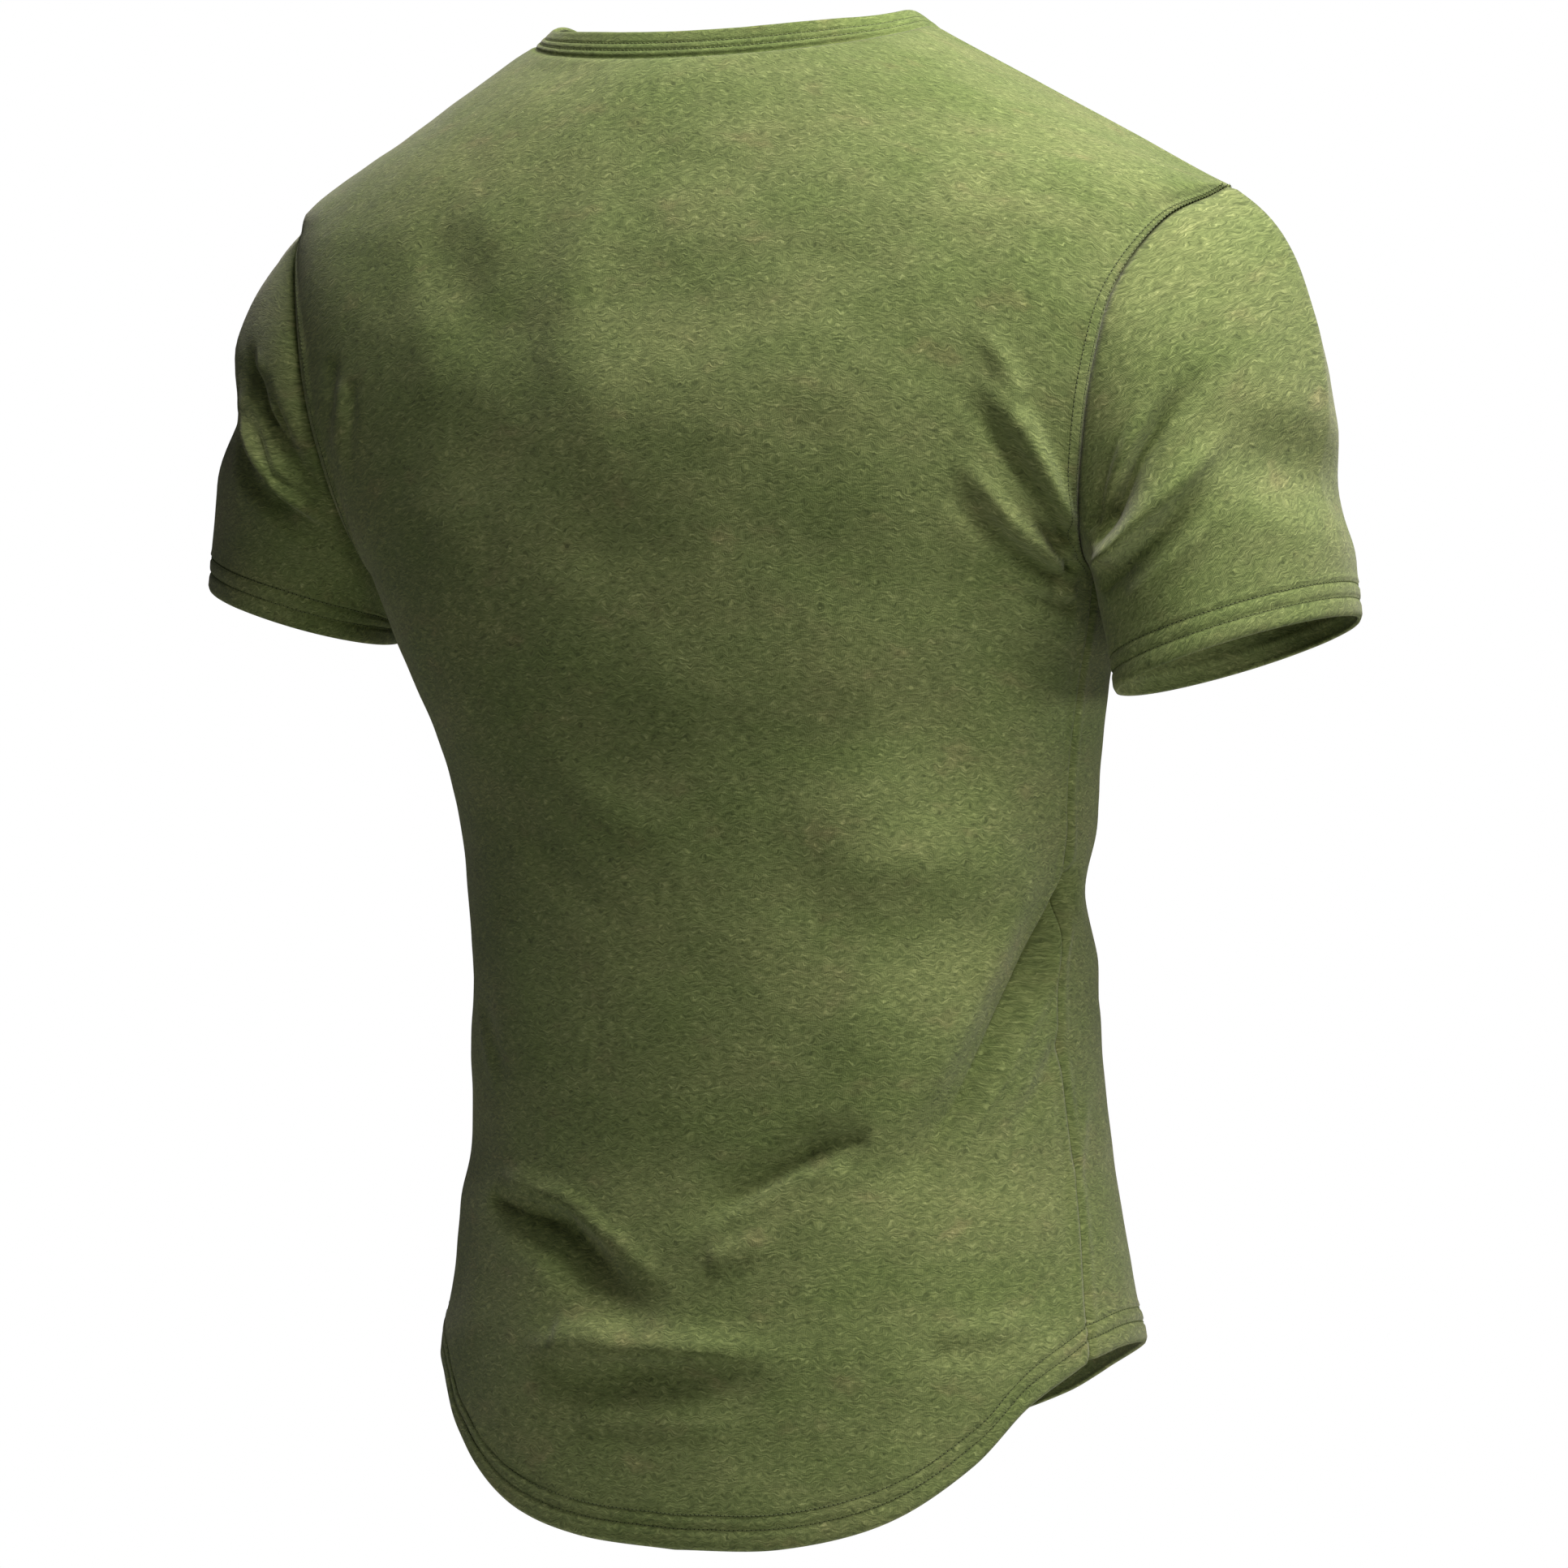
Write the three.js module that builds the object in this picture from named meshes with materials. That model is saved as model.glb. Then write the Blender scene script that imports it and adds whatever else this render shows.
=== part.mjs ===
// A short-sleeved henley shirt in heathered jersey, filled out as it is when worn.
// Every piece is a thin closed wall of cloth: a back, a front, two set-in sleeves,
// a neckband, the two strips of the button placket, and three buttons.
//
// Millimetres, +Z up. The origin lies midway between the two points where the
// shoulder seams meet the neckband. The wearer faces -Y, so +X is the wearer's left.
// The shirt hangs from there down to its curved hem.

import * as THREE from 'three';

// Cloth and seams
const JERSEY = 1.6;          // wall of one layer of jersey
const BAND_CLOTH = 2.2;      // neckband, folded double
const STRIP_CLOTH = 1.5;     // placket strip, folded and pressed flat
const SEAM_GAP = 0.4;        // between the edges of two pieces sewn together
const LAY_GAP = 0.35;        // between a piece and the one it lies on

// Neck
const NECK_HALF = 97;        // from the centre to the shoulder seam
const NECK_DROP = { back: 14.5, front: 88 };
const BAND_HEIGHT = 12.5;
const BAND_LEAN = { side: 1.33, back: 0.32, front: 0.66 };   // inward for each unit up
const BAND_STEPS = 2;

// Body: stations down the side edge, through the shoulder seam, the armhole and the
// side seam. level is the height of the station, centre is how far back or forward the
// cloth lies at the middle of the panel, x and y place the edge, and turn is how many
// degrees the cloth has turned from straight across when it gets there.
const SHOULDER_TIP = 3;
const UNDERARM = 10;
const LAST_STATION = 20;
const BODY_COLUMNS = [
  'level', 'backCentre', 'backX', 'backY', 'backTurn', 'frontCentre', 'frontX', 'frontY', 'frontTurn',
  'steps',
];
const BODY = named(BODY_COLUMNS, [
  [0, 42, 97, 0, 90, -46, 97, 0, 90, 0],
  [-25, 61, 141.7, -8, 90, -56, 141.7, -8, 90, 2],
  [-50, 73, 186.3, -16, 90, -63, 186.3, -16, 90, 2],
  [-75, 82, 231, -24, 90, -70, 231, -24, 90, 2],
  [-92, 87, 218, 18, 70, -80, 215, -58, 70, 1],
  [-123, 93, 205, 45, 52, -102, 199, -80, 50, 2],
  [-160, 97, 197, 53, 42, -121, 190, -89, 40, 2],
  [-195, 97, 190, 48, 46, -131, 186, -84, 46, 2],
  [-222, 97, 184, 37, 58, -134, 182, -66, 62, 2],
  [-240, 96, 180, 22, 70, -136, 181, -39, 82, 1],
  [-250, 95.5, 179, 6, 82, -136.5, 179, 6, 98, 1],
  [-275, 92, 172, -3, 83, -138, 172, -3, 97, 2],
  [-300, 88, 164, -12, 84, -141, 164, -12, 96, 2],
  [-340, 78, 153, -27, 83, -149, 153, -27, 97, 3],
  [-392, 71, 149, -34, 80, -153, 149, -34, 100, 3],
  [-429, 66, 147.5, -28, 76, -157, 147.5, -28, 104, 3],
  [-466, 63, 148.5, -29, 76, -160, 148.5, -29, 104, 3],
  [-510, 59, 151, -36, 76, -166, 151, -36, 104, 3],
  [-540, 60, 156.5, -32, 74, -169, 156.5, -32, 106, 2],
  [-577, 63, 160.5, -28, 71, -175, 160.5, -28, 109, 3],
  [-601, 65, 164, -25, 70, -180, 164, -25, 110, 2],
  [-650, 66, 166, -25, 70, -183, 166, -25, 110, 0],
  [-700, 66, 167, -25, 70, -183, 167, -25, 110, 0],
]);
const FULLNESS = 0.6;        // length of a section's handles, as a share of its reach

// Hem: share of the way from the middle of the panel to the side seam, and the levels
// it reaches there on the wearer's left and right
const HEMS = {
  back: named(['share', 'left', 'right'], [
    [0, -685, -685], [0.25, -681, -683], [0.48, -668, -671], [0.68, -641, -646], [0.82, -615, -620],
    [1, -601, -601],
  ]),
  front: named(['share', 'left', 'right'], [
    [0, -648, -648], [0.2, -645, -644], [0.38, -632, -629], [0.55, -614, -611], [0.72, -601, -599],
    [0.88, -597, -596], [1, -601, -601],
  ]),
};

// How far below the shoulder a panel's rows still bend with the neck, and where they
// start to bend with the hem. A higher ease keeps the bend closer to the edge.
const NECK_REACH = { back: 80, front: 200 };
const NECK_EASE = 1.2;
const HEM_START = -400;
const HEM_EASE = 1.3;

// Sleeves: round the armhole, from the underarm over the back to the shoulder and
// down the front. out, back and down give the way the cloth leaves the armhole, reach
// is how far it keeps that way, and rise is how far above the cuff it hangs straight.
const SLEEVE_CAP = named(['round', 'out', 'back', 'down', 'reach', 'rise'], [
  [0, 0.4, 0, 0.92, 10, 12],
  [0.143, 0.5, 0.1, 0.86, 20, 22],
  [0.25, 0.6, 0.1, 0.79, 34, 40],
  [0.357, 0.76, 0.05, 0.65, 48, 56],
  [0.5, 0.88, 0, 0.47, 60, 74],
  [0.643, 0.82, -0.1, 0.56, 58, 66],
  [0.75, 0.6, -0.15, 0.78, 34, 40],
  [0.857, 0.5, -0.1, 0.86, 20, 22],
  [1, 0.4, 0, 0.92, 10, 12],
]);
const CUFF = { y: -28, long: 62.5, short: 46, lean: 25, turn: 26, flare: 0.12 };
const CUFFS = {
  left: { x: 240, level: -262, slope: 0.3, mirror: 1 },
  right: { x: 234, level: -285, slope: 0.36, mirror: -1 },
};
const SLEEVE_STEPS = 12;

// Placket, on the middle of the front: the under strip fills a cut in the front, and
// the upper strip covers it and both edges of the cut
const SLOT_HALF = 11;
const SLOT_LENGTH = 126;     // from the neck seam to the lower end of the cut
const STRIP_HALF = 14.5;
const STRIP_LENGTH = 138;
const STRIP_STEPS = 9;       // up the front
const STRIP_BAND_STEPS = 2;  // and on up the neckband
const BUTTON = { radius: 5.6, height: 2.4, rim: 1.1, dish: 0.6, sides: 24 };
const BUTTON_DROPS = [13, 59, 105];   // below the neck seam

// Folds, each drawn on the view square to a bearing (0 looks at the front, 180 at the
// back). points run along the fold as distance to the right of the origin and level, left
// and right are its half widths either side of that run, and rise is how far the cloth
// stands out, less than nothing for a trough.
const FOLDS = named(['piece', 'bearing', 'left', 'right', 'rise', 'points'], [
  ['body', 205, 9, 9, 4, [[147, -233], [137, -210], [126, -186], [102, -157]]],
  ['body', 205, 8, 8, -3.5, [[147, -243], [135, -219], [120, -198], [97, -169]]],
  ['body', 205, 8, 8, 3.5, [[150, -248], [137, -240], [122, -228], [92, -192]]],
  ['body', 205, 9, 9, -3, [[149, -256], [135, -250], [119, -239], [86, -207]]],
  ['body', 205, 11, 26, -7, [[158, -352], [150, -390], [133, -431], [102, -485], [84, -510], [48, -560]]],
  ['body', 205, 15, 22, -7, [[-118, -530], [-81, -544], [-60, -565], [-32, -588]]],
  ['body', 205, 20, 15, -5, [[64, -497], [33, -506], [-3, -527], [-31, -544]]],
  ['body', 205, 15, 15, 3, [[-104, -597], [-32, -595], [38, -597]]],
  ['body', 205, 13, 13, -2.5, [[-92, -614], [-32, -612], [22, -616]]],
  ['body', 205, 32, 32, -4, [[146, -266], [98, -304], [50, -344]]],
  ['body', 205, 36, 36, 3, [[140, -350], [106, -376], [28, -396]]],
  ['body', 205, 24, 24, -2.5, [[-140, -70], [-128, -113], [-110, -160]]],
  ['body', 335, 9, 9, 3.5, [[-150, -240], [-134, -214], [-112, -186]]],
  ['body', 335, 9, 9, -3, [[-150, -252], [-130, -232], [-104, -206]]],
  ['body', 25, 9, 9, 3.5, [[151, -236], [137, -208], [118, -176]]],
  ['body', 25, 10, 10, -3.5, [[151, -250], [131, -226], [106, -198]]],
  ['body', 0, 12, 26, -6, [[146, -392], [118, -432], [78, -478], [30, -508]]],
  ['body', 0, 24, 12, -5, [[-148, -430], [-112, -470], [-58, -520], [-16, -552]]],
  ['body', 0, 18, 18, 3, [[-96, -588], [-30, -600], [44, -594]]],
  ['body', 0, 30, 30, -3, [[-96, -236], [-56, -292], [-10, -330]]],
  ['right', 205, 10, 10, -5, [[158, -237], [173, -207], [189, -182], [211, -155]]],
  ['right', 205, 10, 10, 4, [[157, -248], [179, -223], [207, -196], [224, -178]]],
  ['right', 205, 11, 11, -3.5, [[160, -258], [182, -238], [213, -208]]],
  ['right', 335, 11, 11, -4, [[-160, -242], [-184, -214], [-212, -190]]],
  ['right', 335, 11, 11, 3, [[-164, -256], [-190, -232], [-218, -212]]],
  ['left', 205, 9, 9, -5, [[-232, -140], [-222, -168], [-206, -194], [-184, -212]]],
  ['left', 205, 8, 8, 3, [[-236, -156], [-226, -186], [-208, -208], [-184, -224]]],
  ['left', 205, 8, 8, -4, [[-238, -172], [-228, -200], [-208, -220], [-184, -234]]],
  ['left', 25, 11, 11, -4, [[160, -240], [182, -214], [206, -192]]],
  ['left', 115, 34, 34, -8, [[-175, -140], [-112, -166], [-50, -190]]],
  ['right', 295, 30, 30, -8, [[-150, -190], [-83, -208], [-25, -222]]],
  ['body', 295, 34, 34, -6, [[-30, -382], [15, -392], [70, -404]]],
]);
const FOLD_START = 0.15;     // share of a fold's run over which it rises
const FOLD_END = 0.35;       // and over which it dies away
const ARMHOLE_CALM = 14;     // width beside the armhole seam where folds die away
const FACING_FROM = 0.1;     // how far the cloth faces a fold's bearing where the fold begins
const FACING_SPAN = 0.4;     // and how much further it turns until the fold is full

const SEAM_DEPTH = 2.4;      // most that a wall reaches inwards where it folds back at a seam
const SEAM_FACING = 0.1;     // least agreement of two walls' directions at a seam

const PANEL_COLUMNS = 16;    // each side of the middle
const SECTION_PARTS = 28;    // chords used to measure along a section

// Steps for slopes and searches
const SEARCH_STEPS = 36;     // halvings of a search between two rows or levels
const SHARE_STEP = 0.001;    // share of a panel's width, a sleeve's round or its length
const LEVEL_STEP = 0.2;
const PLACE_STEP = 0.01;     // part of the way between two stations
const RING_STEP = 0.25;
const LAST_SHARE = 0.998;    // outermost share where a slope is taken
const HIGHEST_LEVEL = -0.3;  // highest level where a slope is taken
const CAP_START = 0.003;     // where a sleeve's slope is taken beside its seam
const INSIDE_SHARE = 0.95;   // a share that lies inside the side edge

const COLOURS = { jersey: 0x6f7a48, band: 0x717c49, strip: 0x6c7746, button: 0x4b4a34 };

// Named rows from a short table
function named(columns, rows) {
  return rows.map((row) => Object.fromEntries(columns.map((column, i) => [column, row[i]])));
}

// Smooth value of one column at a place between rows; a corner row isn't smoothed over
function smooth(rows, column, place, corners = []) {
  const i = Math.min(Math.floor(place), rows.length - 2);
  const part = place - i;
  const at = (k) => rows[k][column];
  const step = at(i + 1) - at(i);
  const startSharp = i === 0 || corners.includes(i);
  const endSharp = i + 2 === rows.length || corners.includes(i + 1);
  const startSlope = startSharp ? step : (at(i + 1) - at(i - 1)) / 2;
  const endSlope = endSharp ? step : (at(i + 2) - at(i)) / 2;
  const square = part * part;
  const cube = square * part;
  return at(i) * (2 * cube - 3 * square + 1) + startSlope * (cube - 2 * square + part)
    + at(i + 1) * (3 * square - 2 * cube) + endSlope * (cube - square);
}

// Place between rows where a column reaches a value; the column rises or falls all the way
function placeOf(rows, column, value) {
  const falling = rows[0][column] > rows[rows.length - 1][column];
  let low = 0;
  let high = rows.length - 1;
  for (let i = 0; i < SEARCH_STEPS; i += 1) {
    const middle = (low + high) / 2;
    const before = falling ? smooth(rows, column, middle) > value : smooth(rows, column, middle) < value;
    if (before) low = middle;
    else high = middle;
  }
  return (low + high) / 2;
}

function smoothstep(value) {
  const clamped = Math.min(Math.max(value, 0), 1);
  return clamped * clamped * (3 - 2 * clamped);
}

// Where the side edge of a panel lies at a station
function edgePoint(panel, place) {
  const corners = [SHOULDER_TIP, UNDERARM];
  return new THREE.Vector3(
    smooth(BODY, `${panel}X`, place, corners),
    smooth(BODY, `${panel}Y`, place, corners),
    smooth(BODY, 'level', place),
  );
}

// Level section of half a panel, from the middle to its side edge
const sections = new Map();
function section(panel, place) {
  const key = `${panel}${place.toFixed(5)}`;
  if (sections.has(key)) return sections.get(key);
  const edge = edgePoint(panel, place);
  const centre = smooth(BODY, `${panel}Centre`, place);
  const turn = THREE.MathUtils.degToRad(smooth(BODY, `${panel}Turn`, place));
  const toEdge = edge.y - centre;
  const handle = FULLNESS * Math.abs(toEdge);
  const curve = new THREE.CubicBezierCurve(
    new THREE.Vector2(0, centre),
    new THREE.Vector2(FULLNESS * edge.x, centre),
    new THREE.Vector2(
      edge.x - handle * Math.cos(turn),
      edge.y - handle * Math.sin(turn) * Math.sign(toEdge),
    ),
    new THREE.Vector2(edge.x, edge.y),
  );
  curve.arcLengthDivisions = SECTION_PARTS;
  const made = { curve, length: curve.getLength() };
  sections.set(key, made);
  return made;
}

// Point on the plain form of a panel: share runs from -1 to 1 across it. The front's
// first column on each side lies on the edge of the placket's slot.
function formPoint(panel, share, level) {
  const { curve, length } = section(panel, placeOf(BODY, 'level', level));
  const first = 1 / PANEL_COLUMNS;
  const across = Math.abs(share);
  let along = across;
  if (panel === 'front') {
    const slot = SLOT_HALF / length;
    along = across < first ? (slot * across) / first : slot + (1 - slot) * ((across - first) / (1 - first));
  }
  const point = curve.getPointAt(Math.min(along, 1));
  return new THREE.Vector3(Math.sign(share) * point.x, point.y, level);
}

// Height of the neck seam at a share across the panel: an ellipse seen from the front
function neckLevel(panel, share) {
  const drop = NECK_DROP[panel];
  let low = -drop;
  let high = 0;
  for (let i = 0; i < SEARCH_STEPS; i += 1) {
    const middle = (low + high) / 2;
    const x = formPoint(panel, share, middle).x;
    if ((x / NECK_HALF) ** 2 + (middle / drop) ** 2 > 1) low = middle;
    else high = middle;
  }
  return (low + high) / 2;
}

// Height of a point of the panel's net: rows follow the neck seam at the top, lie
// level over the chest and waist, and follow the curved hem at the bottom
const neckLevels = new Map();
function netLevel(panel, share, place) {
  const across = Math.abs(share);
  const key = `${panel}${across.toFixed(5)}`;
  if (!neckLevels.has(key)) neckLevels.set(key, neckLevel(panel, across));
  const edgeLevel = smooth(BODY, 'level', place);
  const neckShare = Math.max(0, 1 + edgeLevel / NECK_REACH[panel]) ** NECK_EASE;
  const hemPlace = placeOf(HEMS[panel], 'share', across);
  const hemLevel = smooth(HEMS[panel], share > 0 ? 'left' : 'right', hemPlace);
  const hemDrop = hemLevel - BODY[LAST_STATION].level;
  const toHem = (edgeLevel - HEM_START) / (BODY[LAST_STATION].level - HEM_START);
  const hemShare = Math.max(0, toHem) ** HEM_EASE;
  return edgeLevel + neckLevels.get(key) * neckShare + hemDrop * hemShare;
}

// Outward direction of a surface given by a function of two numbers
function outward(surface, a, b, stepA, stepB, sign) {
  const alongA = surface(a + stepA, b).sub(surface(a - stepA, b));
  const alongB = surface(a, b + stepB).sub(surface(a, b - stepB));
  return alongA.cross(alongB).multiplyScalar(sign).normalize();
}

function formNormal(panel, share, level) {
  const surface = (a, b) => formPoint(panel, a, b);
  const within = Math.sign(share) * Math.min(Math.abs(share), LAST_SHARE);
  const below = Math.min(level, HIGHEST_LEVEL);
  return outward(surface, within, below, SHARE_STEP, LEVEL_STEP, panel === 'back' ? -1 : 1);
}

// Points of the left armhole, to tell how near the seam a place is
function armholeRing() {
  const ring = [];
  for (const panel of ['back', 'front']) {
    for (let place = SHOULDER_TIP; place <= UNDERARM; place += RING_STEP) ring.push(edgePoint(panel, place));
  }
  return ring;
}
const ARMHOLE_RING = armholeRing();

// How strong a fold is at a place on the view that it is drawn on, from 0 to 1
function foldStrength(fold, across, level) {
  let reached = 0;
  let best = { gap: Infinity };
  for (let i = 1; i < fold.points.length; i += 1) {
    const [fromX, fromZ] = fold.points[i - 1];
    const [toX, toZ] = fold.points[i];
    const run = Math.hypot(toX - fromX, toZ - fromZ);
    const wayX = (toX - fromX) / run;
    const wayZ = (toZ - fromZ) / run;
    const along = (across - fromX) * wayX + (level - fromZ) * wayZ;
    const held = Math.min(Math.max(along, 0), run);
    const gap = Math.hypot(across - fromX - held * wayX, level - fromZ - held * wayZ);
    const side = (level - fromZ) * wayX - (across - fromX) * wayZ;
    if (gap < best.gap) best = { gap, side, along: reached + held };
    reached += run;
  }
  const halfWidth = best.side > 0 ? fold.left : fold.right;
  if (best.gap >= halfWidth) return 0;
  const share = best.along / reached;
  const ends = smoothstep(share / FOLD_START) * smoothstep((1 - share) / FOLD_END);
  return ends * Math.cos((Math.PI / 2) * (best.gap / halfWidth)) ** 2;
}

// How far the folds of a piece lift its cloth from the plain form
function foldRise(piece, point, normal) {
  const mirrored = new THREE.Vector3(Math.abs(point.x), point.y, point.z);
  const seamGap = Math.min(...ARMHOLE_RING.map((place) => place.distanceTo(mirrored)));
  let rise = 0;
  for (const fold of FOLDS.filter((row) => row.piece === piece)) {
    const bearing = THREE.MathUtils.degToRad(fold.bearing);
    const towards = normal.x * Math.sin(bearing) - normal.y * Math.cos(bearing);
    const across = point.x * Math.cos(bearing) + point.y * Math.sin(bearing);
    const facing = smoothstep((towards - FACING_FROM) / FACING_SPAN);
    if (facing > 0) rise += fold.rise * facing * foldStrength(fold, across, point.z);
  }
  return rise * smoothstep(seamGap / ARMHOLE_CALM);
}

// Where the left sleeve and a panel meet: the seam's own point, the way from the panel
// to the sleeve, and the way into the garment that both walls share
function armSeam(panel, place, cuff) {
  const fromUnderarm = (UNDERARM - place) / (UNDERARM - SHOULDER_TIP) / 2;
  const round = panel === 'back' ? fromUnderarm : 1 - fromUnderarm;
  const edge = edgePoint(panel, place);
  const panelNormal = formNormal(panel, 1, edge.z);
  const surface = (a, b) => sleeveForm(a, b, cuff);
  const sleeveNormal = outward(surface, round, CAP_START, SHARE_STEP, SHARE_STEP, 1);
  const edgeWay = edgePoint(panel, Math.min(place + PLACE_STEP, UNDERARM))
    .sub(edgePoint(panel, Math.max(place - PLACE_STEP, SHOULDER_TIP))).normalize();
  const panelWay = edgeWay.clone().cross(panelNormal).normalize();
  const inside = formPoint(panel, INSIDE_SHARE, edge.z);
  if (panelWay.dot(edge.clone().sub(inside)) < 0) panelWay.negate();
  const sleeveWay = capWay(round);
  sleeveWay.addScaledVector(edgeWay, -sleeveWay.dot(edgeWay)).normalize();
  const over = panelWay.add(sleeveWay).normalize();
  const outwards = panelNormal.clone().add(sleeveNormal).normalize();
  const depth = Math.min(JERSEY / Math.max(outwards.dot(panelNormal), SEAM_FACING), SEAM_DEPTH);
  return { edge, over, inwards: outwards.multiplyScalar(-depth) };
}

// Closed wall from a net of outer points and the same net of inner points. Cells that
// are left out make openings, and the wall is closed by a narrow face along each edge.
function wallGeometry(outer, inner, { round = false, keep = () => true } = {}) {
  const rows = outer.length;
  const columns = outer[0].length;
  const cells = round ? columns : columns - 1;
  const corner = (layer, row, column) => (layer * rows + row) * columns + (column % columns);
  const kept = (row, column) => {
    if (row < 0 || row >= rows - 1) return false;
    if (!round && (column < 0 || column >= cells)) return false;
    return keep(row, (column + cells) % cells);
  };
  const faces = [];
  const quad = (a, b, c, d) => faces.push([a, b, c], [a, c, d]);
  for (let row = 0; row < rows - 1; row += 1) {
    for (let column = 0; column < cells; column += 1) {
      if (!kept(row, column)) continue;
      const ring = [[row, column], [row, column + 1], [row + 1, column + 1], [row + 1, column]];
      const beyond = [[row - 1, column], [row, column + 1], [row + 1, column], [row, column - 1]];
      quad(...ring.map(([r, c]) => corner(0, r, c)));
      quad(...ring.map(([r, c]) => corner(1, r, c)).reverse());
      beyond.forEach(([r, c], side) => {
        if (kept(r, c)) return;
        const [from, to] = [ring[side], ring[(side + 1) % 4]];
        quad(corner(0, ...to), corner(0, ...from), corner(1, ...from), corner(1, ...to));
      });
    }
  }
  return solidGeometry([...outer.flat(), ...inner.flat()], faces);
}

// Geometry from points and faces, without unused points and with its faces turned outward
function solidGeometry(points, faces) {
  let volume = 0;
  for (const [a, b, c] of faces) volume += points[a].dot(points[b].clone().cross(points[c]));
  const places = new Map();
  const positions = [];
  const index = [];
  for (const face of faces) {
    const turned = volume < 0 ? [face[0], face[2], face[1]] : face;
    for (const corner of turned) {
      if (!places.has(corner)) {
        places.set(corner, places.size);
        positions.push(...points[corner].toArray());
      }
      index.push(places.get(corner));
    }
  }
  const geometry = new THREE.BufferGeometry();
  geometry.setAttribute('position', new THREE.Float32BufferAttribute(positions, 3));
  geometry.setIndex(index);
  return geometry;
}

function pieceMesh(name, geometry, colour, roughness = 0.95) {
  const material = new THREE.MeshStandardMaterial({ color: colour, roughness, metalness: 0 });
  const mesh = new THREE.Mesh(geometry, material);
  mesh.name = name;
  return mesh;
}

// Places of a net's rows between two stations, with each station's own steps
function rowPlaces(first, last) {
  const places = [first];
  for (let station = first + 1; station <= last; station += 1) {
    const { steps } = BODY[station];
    for (let i = 1; i <= steps; i += 1) places.push(station - 1 + i / steps);
  }
  return places;
}

// Outer and inner point of a panel's net
function panelNode(panel, share, place) {
  const side = Math.sign(share);
  const atEdge = Math.abs(share) === 1;
  const atArmhole = atEdge && place >= SHOULDER_TIP && place <= UNDERARM;
  const atCorner = place === SHOULDER_TIP || place === UNDERARM;
  const trimmed = atEdge && (!atArmhole || atCorner);
  const within = trimmed ? share * (1 - SEAM_GAP / 2 / section(panel, place).length) : share;
  const level = netLevel(panel, share, place);
  const point = formPoint(panel, within, level);
  if (atArmhole) {
    const seam = armSeam(atCorner ? 'back' : panel, place, CUFFS[side > 0 ? 'left' : 'right']);
    const over = new THREE.Vector3(side, 1, 1).multiply(seam.over);
    const inwards = new THREE.Vector3(side, 1, 1).multiply(seam.inwards);
    point.addScaledVector(over, -SEAM_GAP / 2);
    return [point, point.clone().add(inwards)];
  }
  const normal = formNormal(panel, within, level);
  point.addScaledVector(normal, foldRise('body', point, normal));
  return [point, point.clone().addScaledVector(normal, -JERSEY)];
}

function panelMesh(panel) {
  const nodes = rowPlaces(0, LAST_STATION).map((place) => {
    const columns = Array.from({ length: 2 * PANEL_COLUMNS + 1 }, (_, i) => i / PANEL_COLUMNS - 1);
    return columns.map((share) => panelNode(panel, share, place));
  });
  const outer = nodes.map((row) => row.map((node) => node[0]));
  const inner = nodes.map((row) => row.map((node) => node[1]));
  const keep = (row, column) => {
    const besideMiddle = column === PANEL_COLUMNS - 1 || column === PANEL_COLUMNS;
    return panel === 'back' || !besideMiddle || row >= slotRows(outer);
  };
  return pieceMesh(`${panel}_panel`, wallGeometry(outer, inner, { keep }), COLOURS.jersey);
}

// Number of rows that the placket's slot cuts through
function slotRows(rows) {
  return rows.findIndex((row) => row[PANEL_COLUMNS].z < -NECK_DROP.front - SLOT_LENGTH);
}

// The way the sleeve's cloth leaves the armhole, at a place round it
function capWay(round) {
  const place = placeOf(SLEEVE_CAP, 'round', round);
  const cap = (column) => smooth(SLEEVE_CAP, column, place);
  return new THREE.Vector3(cap('out'), cap('back'), -cap('down')).normalize();
}

function cuffPoint(round, cuff) {
  const clock = round * Math.PI * 2 + THREE.MathUtils.degToRad(CUFF.turn);
  const lean = THREE.MathUtils.degToRad(CUFF.lean);
  const inwards = new THREE.Vector2(-Math.cos(lean), -Math.sin(lean));
  const backwards = new THREE.Vector2(-Math.sin(lean), Math.cos(lean));
  const offset = inwards.multiplyScalar(CUFF.short * Math.cos(clock))
    .addScaledVector(backwards, CUFF.long * Math.sin(clock));
  return new THREE.Vector3(cuff.x + offset.x, CUFF.y + offset.y, cuff.level + cuff.slope * offset.x);
}

// Plain form of the left sleeve: round the armhole, and along from the seam to the cuff
function sleeveForm(round, along, cuff) {
  const wrapped = round - Math.floor(round);
  const place = placeOf(SLEEVE_CAP, 'round', wrapped);
  const way = capWay(wrapped);
  const panel = wrapped <= 0.5 ? 'back' : 'front';
  const fromUnderarm = wrapped <= 0.5 ? wrapped : 1 - wrapped;
  const start = edgePoint(panel, UNDERARM - (UNDERARM - SHOULDER_TIP) * fromUnderarm * 2);
  const end = cuffPoint(wrapped, cuff);
  const hang = new THREE.Vector3(-CUFF.flare, 0, 1).normalize();
  const curve = new THREE.CubicBezierCurve3(
    start,
    start.clone().addScaledVector(way, smooth(SLEEVE_CAP, 'reach', place)),
    end.clone().addScaledVector(hang, smooth(SLEEVE_CAP, 'rise', place)),
    end,
  );
  return curve.getPoint(along);
}

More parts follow.
